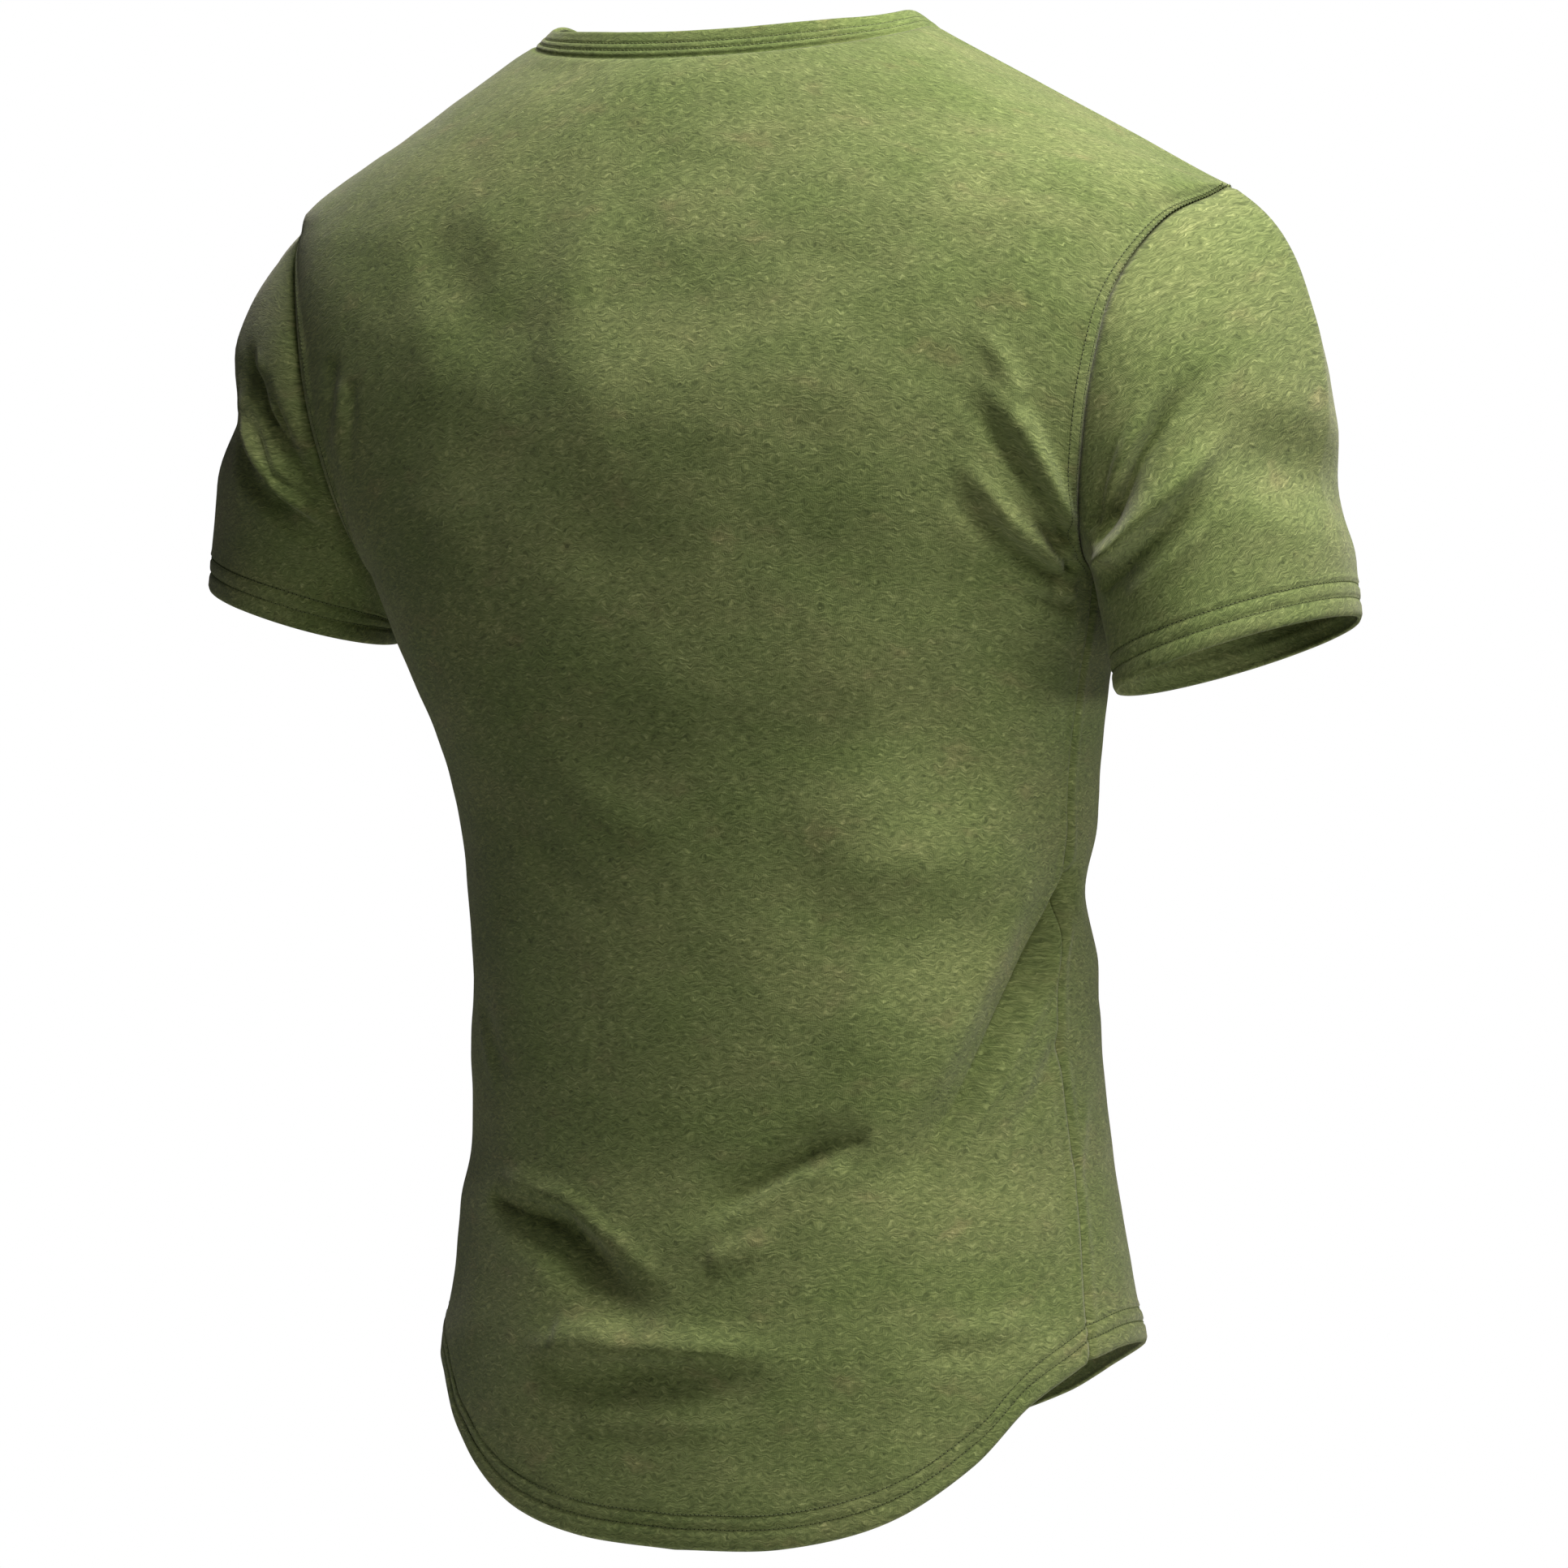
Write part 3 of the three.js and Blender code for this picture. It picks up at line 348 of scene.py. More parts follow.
# The folds, each drawn on the view square to a bearing, where 0 looks at the front and
# 180 at the back. The points run along the fold as distance right of the origin and level,
# left and right are its widths either side, rise is how far the cloth stands out, less
# than nothing for a trough, and sharp is 0 for a round fold and 1 for a pinched one.
FOLD_COLUMNS = ("piece", "bearing", "left", "right", "rise", "sharp", "points")
FOLDS = [
    # the largest, which the solids have too
    ("body", 205, 9, 9, 4, 0, [[147, -233], [137, -210], [126, -186], [102, -157]]),
    ("body", 205, 8, 8, -3.5, 0, [[147, -243], [135, -219], [120, -198], [97, -169]]),
    ("body", 205, 8, 8, 3.5, 0, [[150, -248], [137, -240], [122, -228], [92, -192]]),
    ("body", 205, 9, 9, -3, 0, [[149, -256], [135, -250], [119, -239], [86, -207]]),
    ("body", 205, 11, 26, -7, 0, [
        [158, -352], [150, -390], [133, -431], [102, -485], [84, -510], [48, -560],
    ]),
    ("body", 205, 15, 22, -7, 0, [[-118, -530], [-81, -544], [-60, -565], [-32, -588]]),
    ("body", 205, 20, 15, -5, 0, [[64, -497], [33, -506], [-3, -527], [-31, -544]]),
    ("body", 205, 15, 15, 3, 0, [[-104, -597], [-32, -595], [38, -597]]),
    ("body", 205, 13, 13, -2.5, 0, [[-92, -614], [-32, -612], [22, -616]]),
    ("body", 205, 32, 32, -4, 0, [[146, -266], [98, -304], [50, -344]]),
    ("body", 205, 36, 36, 3, 0, [[140, -350], [106, -376], [28, -396]]),
    ("body", 205, 24, 24, -1.3, 0, [[-140, -70], [-128, -113], [-110, -160]]),
    ("body", 335, 9, 9, 3.5, 0, [[-150, -240], [-134, -214], [-112, -186]]),
    ("body", 335, 9, 9, -3, 0, [[-150, -252], [-130, -232], [-104, -206]]),
    ("body", 25, 9, 9, 3.5, 0, [[151, -236], [137, -208], [118, -176]]),
    ("body", 25, 10, 10, -3.5, 0, [[151, -250], [131, -226], [106, -198]]),
    ("body", 0, 12, 26, -6, 0, [[146, -392], [118, -432], [78, -478], [30, -508]]),
    ("body", 0, 24, 12, -5, 0, [[-148, -430], [-112, -470], [-58, -520], [-16, -552]]),
    ("body", 0, 18, 18, 3, 0, [[-96, -588], [-30, -600], [44, -594]]),
    ("body", 0, 30, 30, -3, 0, [[-96, -236], [-56, -292], [-10, -330]]),
    ("body", 295, 34, 34, -6, 0, [[-30, -382], [15, -392], [70, -404]]),
    ("right", 205, 10, 10, -5, 0, [[158, -237], [173, -207], [189, -182], [211, -155]]),
    ("right", 205, 10, 10, 4, 0, [[157, -248], [179, -223], [207, -196], [224, -178]]),
    ("right", 205, 11, 11, -3.5, 0, [[160, -258], [182, -238], [213, -208]]),
    ("right", 335, 11, 11, -4, 0, [[-160, -242], [-184, -214], [-212, -190]]),
    ("right", 335, 11, 11, 3, 0, [[-164, -256], [-190, -232], [-218, -212]]),
    ("right", 295, 30, 30, -8, 0, [[-150, -190], [-83, -208], [-25, -222]]),
    ("left", 205, 9, 9, -5, 0, [[-232, -140], [-222, -168], [-206, -194], [-184, -212]]),
    ("left", 205, 8, 8, 3, 0, [[-236, -156], [-226, -186], [-208, -208], [-184, -224]]),
    ("left", 205, 8, 8, -4, 0, [[-238, -172], [-228, -200], [-208, -220], [-184, -234]]),
    ("left", 25, 11, 11, -4, 0, [[160, -240], [182, -214], [206, -192]]),
    ("left", 115, 34, 34, -8, 0, [[-175, -140], [-112, -166], [-50, -190]]),
    # the fullness of the shoulder blades and of the small of the back
    ("body", 205, 80, 60, 5, 0, [[-130, -180], [-60, -186], [20, -186], [110, -176]]),
    ("body", 205, 44, 40, 3, 0, [[10, -352], [70, -366], [140, -372]]),
    ("body", 205, 40, 40, 2.5, 0, [[30, -440], [70, -450], [130, -440]]),
    ("body", 0, 70, 60, 4, 0, [[-100, -150], [-40, -160], [40, -160], [100, -150]]),
    # the finer creases of the back, at the right underarm
    ("body", 205, 5, 6, 2.7, 0.6, [[148, -243], [139, -229], [129, -217], [118, -204]]),
    ("body", 205, 5, 5, -3.1, 0.8, [[149, -249], [138, -233], [127, -220], [112, -206]]),
    ("body", 205, 5, 5, -2.7, 0.8, [[147, -238], [139, -222], [131, -204], [118, -186]]),
    ("body", 205, 6, 5, 2.4, 0.5, [[151, -258], [136, -254], [120, -246], [100, -230]]),
    ("body", 205, 6, 6, -2.4, 0.6, [[150, -264], [134, -262], [116, -256]]),
    ("body", 205, 8, 8, 2, 0.3, [[126, -176], [116, -156], [104, -138]]),
    # the long pull from the right side to the seat, with its pinched valley
    ("body", 205, 6, 4, -5, 0.8, [
        [154, -377], [147, -398], [132, -431], [102, -485], [84, -510], [58, -546],
    ]),
    ("body", 205, 13, 14, 2.4, 0, [
        [144, -372], [133, -390], [118, -423], [88, -477], [70, -502], [44, -538],
    ]),
    ("body", 205, 5, 8, 2, 0.2, [[156, -390], [139, -435], [109, -489], [91, -514], [68, -546]]),
    ("body", 205, 8, 8, -2, 0.4, [[150, -452], [136, -480], [118, -506]]),
    # pulls across the small of the back and over the seat
    ("body", 205, 5, 6, -3.1, 0.8, [[-116, -532], [-81, -544], [-60, -565], [-34, -584]]),
    ("body", 205, 7, 7, 3.1, 0.3, [[-112, -520], [-78, -531], [-50, -552], [-22, -574]]),
    ("body", 205, 6, 6, -2.5, 0.7, [[59, -499], [33, -506], [-3, -527], [-29, -542]]),
    ("body", 205, 8, 8, 2.5, 0.3, [[52, -512], [26, -519], [-6, -538], [-30, -552]]),
    ("body", 205, 7, 7, 2.4, 0.3, [[-99, -597], [-32, -595], [33, -597]]),
    ("body", 205, 5, 5, 2, 0.3, [[-77, -628], [-32, -629], [8, -631]]),
    ("body", 205, 6, 6, 2, 0.3, [[87, -586], [113, -585], [143, -581]]),
    ("body", 205, 6, 6, -1.7, 0.4, [[80, -596], [112, -596], [140, -592]]),
    ("body", 205, 9, 9, 2.7, 0.2, [[-84, -590], [-62, -589], [-44, -588]]),
    ("body", 205, 10, 10, 2.4, 0.2, [[-14, -556], [4, -550], [22, -543]]),
    ("body", 205, 8, 8, -2, 0.3, [[-60, -606], [-20, -604], [20, -606]]),
    # the left side of the waist, and beside the left armhole
    ("body", 205, 3, 3, 1.2, 0.4, [[-123, -432], [-120, -449], [-115, -470], [-108, -492]]),
    ("body", 205, 6, 8, -1.2, 0.3, [[-118, -440], [-112, -464], [-104, -488]]),
    ("body", 205, 5, 6, -1.2, 0.5, [[-185, -147], [-187, -171], [-190, -190], [-184, -212]]),
    ("body", 205, 5, 5, -1.1, 0.5, [[-176, -158], [-178, -187], [-174, -215]]),
    ("body", 205, 6, 6, 1, 0.3, [[-181, -156], [-183, -184], [-180, -212]]),
    # the right side, beside its seam
    ("body", 205, 4, 5, 0.9, 0.3, [[150, -352], [152, -374], [150, -392], [146, -424], [143, -450]]),
    ("body", 205, 4, 4, 0.8, 0.3, [[158, -482], [155, -510], [152, -524], [152, -540]]),
    # soft hollows of the upper back and the small of the back
    ("body", 205, 26, 26, -1.6, 0, [[120, -60], [104, -104], [92, -150]]),
    ("body", 205, 22, 22, 1.2, 0, [[-60, -70], [-76, -130], [-70, -190]]),
    ("body", 205, 18, 18, -1.2, 0, [[130, -300], [84, -352], [20, -392]]),
    ("body", 205, 16, 16, 1.1, 0, [[-110, -300], [-60, -352], [-10, -380]]),
    ("body", 205, 14, 14, -1.1, 0, [[-118, -340], [-80, -384], [-40, -420]]),
    # like creases on the front
    ("body", 0, 5, 6, -3.1, 0.8, [[144, -396], [116, -434], [78, -480], [36, -506]]),
    ("body", 0, 8, 8, 2.5, 0.3, [[138, -376], [106, -420], [70, -462]]),
    ("body", 0, 6, 6, -2.5, 0.7, [[-144, -436], [-110, -474], [-58, -522], [-22, -546]]),
    ("body", 0, 9, 9, 2.2, 0.3, [[-138, -462], [-100, -500], [-60, -538]]),
    ("body", 0, 6, 6, 2, 0.3, [[-104, -612], [-52, -620], [0, -616]]),
    ("body", 0, 6, 6, 1.9, 0.3, [[40, -566], [84, -576], [124, -572]]),
    ("body", 25, 5, 5, -2.5, 0.8, [[152, -244], [140, -222], [124, -192]]),
    ("body", 25, 5, 5, 2.2, 0.5, [[152, -256], [134, -238], [112, -212]]),
    ("body", 335, 5, 5, -2.5, 0.8, [[-151, -246], [-136, -222], [-118, -196]]),
    ("body", 335, 5, 5, 2.2, 0.5, [[-150, -258], [-128, -242], [-104, -220]]),
    ("body", 0, 12, 12, 2.4, 0.1, [[-30, -236], [-66, -250], [-104, -256]]),
    ("body", 0, 12, 12, -2, 0.1, [[26, -232], [64, -252], [108, -262]]),
    # the right sleeve
    ("right", 205, 4, 5, -3.1, 0.8, [[158, -237], [173, -207], [189, -182], [208, -157]]),
    ("right", 205, 5, 5, 2.5, 0.5, [[157, -248], [179, -223], [205, -198], [221, -181]]),
    ("right", 205, 4, 5, -2.5, 0.7, [[160, -257], [182, -237], [209, -211]]),
    ("right", 205, 4, 5, -2.9, 0.8, [[155, -230], [163, -200], [173, -176]]),
    ("right", 205, 6, 6, 2.4, 0.3, [[160, -226], [170, -196], [184, -168]]),
    ("right", 205, 6, 6, 1.7, 0.3, [[170, -262], [196, -240], [222, -214]]),
    ("right", 335, 5, 5, -2.4, 0.7, [[-162, -244], [-186, -216], [-210, -194]]),
    # the left sleeve
    ("left", 205, 3.5, 4.5, -3.7, 0.8, [[-230, -135], [-219, -172], [-200, -199], [-186, -210]]),
    ("left", 205, 4, 4, 3.1, 0.4, [[-226, -140], [-214, -178], [-198, -202]]),
    ("left", 205, 3.5, 4.5, -3.1, 0.8, [[-223, -148], [-209, -182], [-194, -200]]),
    ("left", 205, 3.5, 4.5, -3.4, 0.8, [[-233, -162], [-215, -199], [-184, -220]]),
    ("left", 205, 4, 4, 2.7, 0.4, [[-235, -170], [-213, -206], [-184, -226]]),
    ("left", 205, 3.5, 4.5, -2.7, 0.8, [[-235, -180], [-212, -212], [-182, -231]]),
    ("left", 25, 5, 5, -2.4, 0.7, [[162, -242], [184, -216], [204, -196]]),
]
PINCHED_FROM = 0.5           # a fold this sharp runs out from a seam, where it is deepest
FOLD_START = {"soft": 0.13, "pinched": 0.04}
FOLD_END = {"soft": 0.5, "pinched": 0.85}
WIDE_FOLD = 12               # a wider fold than this rises slowly at its start
WIDE_START = 0.35
ARMHOLE_CALM = 4
FOLD_GAIN = 1.4              # how much deeper the folds are than the table, on front and back
SIDE_BEARINGS = (115, 295)   # folds on these views and on the left sleeve keep their depth
FACING_FROM = 0.1            # a fold lies only on cloth that turns this far to its view
FACING_SPAN = 0.4
RING_STEP = 0.25


def fold_strength(fold, across, level):
    """How strong a fold is at places on the view that it is drawn on, from 0 to 1."""
    reached = 0
    best_gap = np.full(across.shape, np.inf)
    best_side = np.zeros(across.shape)
    best_along = np.zeros(across.shape)
    for (from_x, from_z), (to_x, to_z) in zip(fold["points"], fold["points"][1:]):
        run = math.hypot(to_x - from_x, to_z - from_z)
        way_x, way_z = (to_x - from_x) / run, (to_z - from_z) / run
        held = np.clip((across - from_x) * way_x + (level - from_z) * way_z, 0, run)
        gap = np.hypot(across - from_x - held * way_x, level - from_z - held * way_z)
        nearer = gap < best_gap
        side = (level - from_z) * way_x - (across - from_x) * way_z
        best_gap = np.where(nearer, gap, best_gap)
        best_side = np.where(nearer, side, best_side)
        best_along = np.where(nearer, reached + held, best_along)
        reached += run
    width = np.where(best_side > 0, fold["left"], fold["right"])
    away = np.minimum(best_gap / width, 1)
    share = best_along / reached
    from_seam = fold["sharp"] >= PINCHED_FROM and fold["piece"] != "left"
    kind = "pinched" if from_seam else "soft"
    start = WIDE_START if max(fold["left"], fold["right"]) > WIDE_FOLD else FOLD_START[kind]
    ends = smoothstep(share / start) * smoothstep((1 - share) / FOLD_END[kind])
    rounded = np.cos(math.pi / 2 * away) ** 2
    pinched = (1 - away) ** 2
    return ends * (rounded * (1 - fold["sharp"]) + pinched * fold["sharp"])


armhole_ring = np.concatenate([
    edge_point(panel, np.arange(SHOULDER_TIP, UNDERARM + RING_STEP / 2, RING_STEP))
    for panel in ("back", "front")
])


def fold_rise(piece, points, normals):
    """How far the folds of a piece lift its cloth from the plain form."""
    mirrored = points.copy()
    mirrored[..., 0] = np.abs(points[..., 0])
    seam_gap = np.full(points.shape[:-1], np.inf)
    for place in armhole_ring:
        seam_gap = np.minimum(seam_gap, np.linalg.norm(mirrored - place, axis=-1))
    rise = np.zeros(points.shape[:-1])
    for row in FOLDS:
        fold = dict(zip(FOLD_COLUMNS, row))
        if fold["piece"] != piece:
            continue
        bearing = math.radians(fold["bearing"])
        towards = normals[..., 0] * math.sin(bearing) - normals[..., 1] * math.cos(bearing)
        across = points[..., 0] * math.cos(bearing) + points[..., 1] * math.sin(bearing)
        facing = smoothstep((towards - FACING_FROM) / FACING_SPAN)
        gain = 1 if piece == "left" or fold["bearing"] in SIDE_BEARINGS else FOLD_GAIN
        rise += gain * fold["rise"] * facing * fold_strength(fold, across, points[..., 2])
    return rise * smoothstep(seam_gap / ARMHOLE_CALM)


def soft_unevenness(points, waves):
    """Gentle rise and fall of cloth that hangs free; a wave is a size, an amount and a move."""
    rise = np.zeros(points.shape[:-1])
    for size, amount, moved in waves:
        values = [noise.noise(Vector(p)) for p in (points + moved).reshape(-1, 3) / size]
        rise += np.array(values).reshape(points.shape[:-1]) * amount
    return rise


def mesh_object(name, shape, material):
    """Closes a bmesh into an object at the origin that rides on the shirt."""
    mesh = bpy.data.meshes.new(name)
    shape.to_mesh(mesh)
    shape.free()
    mesh.materials.append(material)
    mesh.shade_smooth()
    made = bpy.data.objects.new(name, mesh)
    bpy.context.scene.collection.objects.link(made)
    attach(made, "root")
    return made


def grid_shape(points, cloth, keep=None, closed=False):
    """A grid laid on a net of points, with the cloth's own distances as its UV map."""
    rows, columns = points.shape[:2]
    shape = bmesh.new()
    bmesh.ops.create_grid(shape, x_segments=columns - 1, y_segments=rows - 1, size=1)
    uv = shape.loops.layers.uv.new("cloth")
    place = {}
    for vert in shape.verts:
        column = round((vert.co.x + 1) / 2 * (columns - 1))
        row = round((vert.co.y + 1) / 2 * (rows - 1))
        place[vert] = (row, column)
        vert.co = points[row, column] * MM
    for face in shape.faces:
        for loop in face.loops:
            loop[uv].uv = cloth[place[loop.vert]] * MM
    if keep is not None:
        lost = [
            face for face in shape.faces
            if not keep(min(place[v][0] for v in face.verts), min(place[v][1] for v in face.verts))
        ]
        bmesh.ops.delete(shape, geom=lost, context="FACES")
    if closed:
        bmesh.ops.remove_doubles(shape, verts=shape.verts, dist=1e-6)
    return shape


def turn_outward(shape, points, normals):
    """Turns a sheet's faces the way its net's normals point."""
    middle_row, middle_column = points.shape[0] // 3, points.shape[1] // 3
    goal = Vector(points[middle_row, middle_column] * MM)
    way = Vector(normals[middle_row, middle_column])
    nearest = min(shape.faces, key=lambda face: (face.calc_center_median() - goal).length)
    nearest.normal_update()
    if nearest.normal.dot(way) < 0:
        bmesh.ops.reverse_faces(shape, faces=shape.faces)


def thicken(made, thickness):
    """Gives a sheet its wall, inwards from its outer face."""
    wall = made.modifiers.new("wall", "SOLIDIFY")
    wall.thickness = thickness * MM
    wall.offset = -1


# Jersey: soft heathered knit. Wavy light and dark fibres run along the courses, in faint
# broad patches, over fine upright columns of stitches, with a soft nap that catches light.
JERSEY_COLOUR = (0.170, 0.203, 0.068)


def add_group(name, inputs, outputs):
    """A shader node group with its sockets, and its own input and output nodes."""
    group = bpy.data.node_groups.new(name, "ShaderNodeTree")
    for label, kind, value in inputs:
        socket = group.interface.new_socket(label, in_out="INPUT", socket_type=kind)
        if value is not None:
            socket.default_value = value
    for label, kind in outputs:
        group.interface.new_socket(label, in_out="OUTPUT", socket_type=kind)
    return group, group.nodes.new("NodeGroupInput"), group.nodes.new("NodeGroupOutput")


def node(group, kind, links, **settings):
    """Adds a node with its settings; links give each input a value or another node's output."""
    made = group.nodes.new(kind)
    for label, value in settings.items():
        setattr(made, label, value)
    for label, value in links.items():
        socket = made.inputs[label]
        if isinstance(value, bpy.types.NodeSocket):
            group.links.new(value, socket)
        else:
            socket.default_value = value
    return made


heather, heather_in, heather_out = add_group(
    "heather_knit",
    [
        ("Cloth", "NodeSocketVector", None),
        ("Colour", "NodeSocketColor", (*JERSEY_COLOUR, 1)),
        ("Contrast", "NodeSocketFloat", 1.0),
        ("Slant", "NodeSocketFloat", 0.0),
    ],
    [("Colour", "NodeSocketColor"), ("Height", "NodeSocketFloat")],
)


def cloth_streaks(across, up, offset, detail, warp):
    """Noise drawn out along the courses: across and up are its grain in marks a metre."""
    scaled = node(heather, "ShaderNodeVectorMath", {0: warp, 1: (across, up, 1)}, operation="MULTIPLY")
    moved = node(heather, "ShaderNodeVectorMath", {0: scaled.outputs[0], 1: (offset, offset * 0.37, offset)},
                 operation="ADD")
    grain = {"Vector": moved.outputs[0], "Scale": 1.0, "Detail": detail, "Roughness": 0.6}
    return node(heather, "ShaderNodeTexNoise", grain).outputs["Fac"]


turned = node(heather, "ShaderNodeVectorRotate",
              {"Vector": heather_in.outputs["Cloth"], "Angle": heather_in.outputs["Slant"]},
              rotation_type="Z_AXIS")
wave = node(heather, "ShaderNodeTexNoise",
            {"Vector": turned.outputs[0], "Scale": 165.0, "Detail": 2.0, "Roughness": 0.55})
wave_centred = node(heather, "ShaderNodeVectorMath", {0: wave.outputs["Color"], 1: (0.5, 0.5, 0.5)},
                    operation="SUBTRACT")
wave_small = node(heather, "ShaderNodeVectorMath", {0: wave_centred.outputs[0], 1: (0.004, 0.0072, 0)},
                  operation="MULTIPLY")
wavy = node(heather, "ShaderNodeVectorMath", {0: turned.outputs[0], 1: wave_small.outputs[0]},
            operation="ADD").outputs[0]
long_fibres = cloth_streaks(190, 1150, 3.1, 3.0, wavy)
short_fibres = cloth_streaks(420, 1700, 17.7, 2.0, wavy)
broad_patches = cloth_streaks(14, 26, 8.3, 3.0, wavy)
warm_patches = cloth_streaks(34, 60, 29.0, 2.0, wavy)


def ramp(value, low, high, steps):
    """A colour ramp between two values, with colours given at shares of the way."""
    eased = node(heather, "ShaderNodeMapRange", {"Value": value, "From Min": low, "From Max": high})
    made = node(heather, "ShaderNodeValToRGB", {"Fac": eased.outputs["Result"]})
    band = made.color_ramp
    while len(band.elements) < len(steps):
        band.elements.new(0.5)
    for element, (position, shade) in zip(band.elements, steps):
        element.position = position
        element.color = (*shade, 1)
    return made.outputs["Color"]


def multiplied(first, second, amount):
    """One colour multiplied by another, by an amount."""
    made = node(heather, "ShaderNodeMix", {"Factor": amount}, data_type="RGBA", blend_type="MULTIPLY")
    heather.links.new(first, made.inputs["A"])
    heather.links.new(second, made.inputs["B"])
    return made.outputs["Result"]


fibre_shades = ramp(long_fibres, 0.30, 0.72, [
    (0.0, (0.55, 0.57, 0.52)), (0.38, (0.88, 0.89, 0.86)), (0.62, (1.06, 1.05, 1.03)),
    (0.82, (1.40, 1.34, 1.42)), (1.0, (1.70, 1.58, 1.80)),
])
short_shades = ramp(short_fibres, 0.30, 0.72, [
    (0.0, (0.66, 0.68, 0.65)), (0.5, (1.0, 1.0, 1.0)), (1.0, (1.42, 1.36, 1.40)),
])
patch_shades = ramp(broad_patches, 0.34, 0.66, [
    (0.0, (0.86, 0.91, 0.82)), (0.5, (1.0, 1.0, 1.0)), (1.0, (1.14, 1.08, 1.14)),
])
warm_shades = ramp(warm_patches, 0.42, 0.74, [
    (0.0, (0.98, 1.01, 0.97)), (0.6, (1.0, 1.0, 1.0)), (1.0, (1.16, 1.02, 1.12)),
])
shade = multiplied(heather_in.outputs["Colour"], fibre_shades, heather_in.outputs["Contrast"])
shade = multiplied(shade, short_shades, heather_in.outputs["Contrast"])
shade = multiplied(shade, patch_shades, 1.0)
shade = multiplied(shade, warm_shades, 1.0)
heather.links.new(shade, heather_out.inputs["Colour"])

# Columns of knit stitches, softened by the fibres that stand off them
RIB_PITCH = 0.85
ribs = node(heather, "ShaderNodeTexWave",
            {"Vector": wavy, "Scale": 2 * math.pi / (20 * RIB_PITCH * MM), "Distortion": 0.0},
            wave_type="BANDS", bands_direction="X", wave_profile="SIN")
fibre_height = node(heather, "ShaderNodeMath", {0: long_fibres, 1: 0.9}, operation="MULTIPLY")
short_height = node(heather, "ShaderNodeMath", {0: short_fibres, 1: 0.7}, operation="MULTIPLY")
both_height = node(heather, "ShaderNodeMath", {0: fibre_height.outputs[0], 1: short_height.outputs[0]},
                   operation="ADD")
rib_height = node(heather, "ShaderNodeMath", {0: ribs.outputs["Fac"], 1: 0.18}, operation="MULTIPLY")
knit_height = node(heather, "ShaderNodeMath", {0: both_height.outputs[0], 1: rib_height.outputs[0]},
                   operation="ADD")
heather.links.new(knit_height.outputs[0], heather_out.inputs["Height"])


def jersey_material(name, colour, contrast=1.0, slant=0.0):
    """Heathered jersey in a shade of its own, with the courses turned by slant."""
    material = bpy.data.materials.new(name)
    material.use_nodes = True
    tree = material.node_tree
    shader = tree.nodes["Principled BSDF"]
    cloth = node(tree, "ShaderNodeUVMap", {}, uv_map="cloth")
    knit = tree.nodes.new("ShaderNodeGroup")
    knit.node_tree = heather
    knit.inputs["Colour"].default_value = (*colour, 1)
    knit.inputs["Contrast"].default_value = contrast
    knit.inputs["Slant"].default_value = slant
    tree.links.new(cloth.outputs["UV"], knit.inputs["Cloth"])
    bump = node(tree, "ShaderNodeBump", {
        "Strength": 0.55, "Distance": 0.0004, "Height": knit.outputs["Height"],
    })
    tree.links.new(knit.outputs["Colour"], shader.inputs["Base Color"])
    tree.links.new(bump.outputs["Normal"], shader.inputs["Normal"])
    shader.inputs["Roughness"].default_value = 0.92
    shader.inputs["Specular IOR Level"].default_value = 0.25
    shader.inputs["Sheen Weight"].default_value = 0.22
    shader.inputs["Sheen Roughness"].default_value = 0.5
    shader.inputs["Sheen Tint"].default_value = (1.0, 0.92, 0.8, 1)
    return material


jersey = jersey_material("heathered_jersey", JERSEY_COLOUR)

# Places of a panel's rows and columns: about 3 mm apart, and closer beside its edges,
# where the hem's stitching, the seams and the raised armhole strip need finer cloth
ROW_STEP = 2.95
HEM_FINE = 24
HEM_ROW_STEP = 1.25
EDGE_FINE = 0.075
SHARE_STEP = 0.0115
EDGE_COLUMNS = 12
EDGE_CLOSER = 1.3
SLOT_COLUMNS = 4
SIDE_PLACES = 2001


def reached_along(path):
    """Length of a path up to each of its points."""
    return np.concatenate([[0], np.cumsum(np.linalg.norm(np.diff(path, axis=0), axis=1))])


def panel_rows():
    """Places of the rows, as stations down the side edge."""
    side_places = np.linspace(0, LAST_STATION, SIDE_PLACES)
    reached = reached_along(edge_point("back", side_places))
    plain = np.arange(0, reached[-1] - HEM_FINE, ROW_STEP)
    fine = np.linspace(reached[-1] - HEM_FINE, reached[-1], round(HEM_FINE / HEM_ROW_STEP) + 1)
    goals = np.concatenate([plain[:-1], fine])
    places = np.interp(goals, reached, side_places)
    for corner in (SHOULDER_TIP, UNDERARM):
        places[np.abs(places - corner).argmin()] = corner
    return places


def panel_columns():
    """Shares of the columns across a panel, from -1 to 1."""
    middle = np.linspace(SIDE_FIRST, 1 - EDGE_FINE, round((1 - EDGE_FINE - SIDE_FIRST) / SHARE_STEP) + 1)
    edge = 1 - EDGE_FINE * np.linspace(1, 0, EDGE_COLUMNS + 1)[1:] ** EDGE_CLOSER
    inside = np.linspace(0, SIDE_FIRST, SLOT_COLUMNS + 1)[:-1]
    half = np.concatenate([inside, middle, edge])
    return np.concatenate([-half[:0:-1], half])


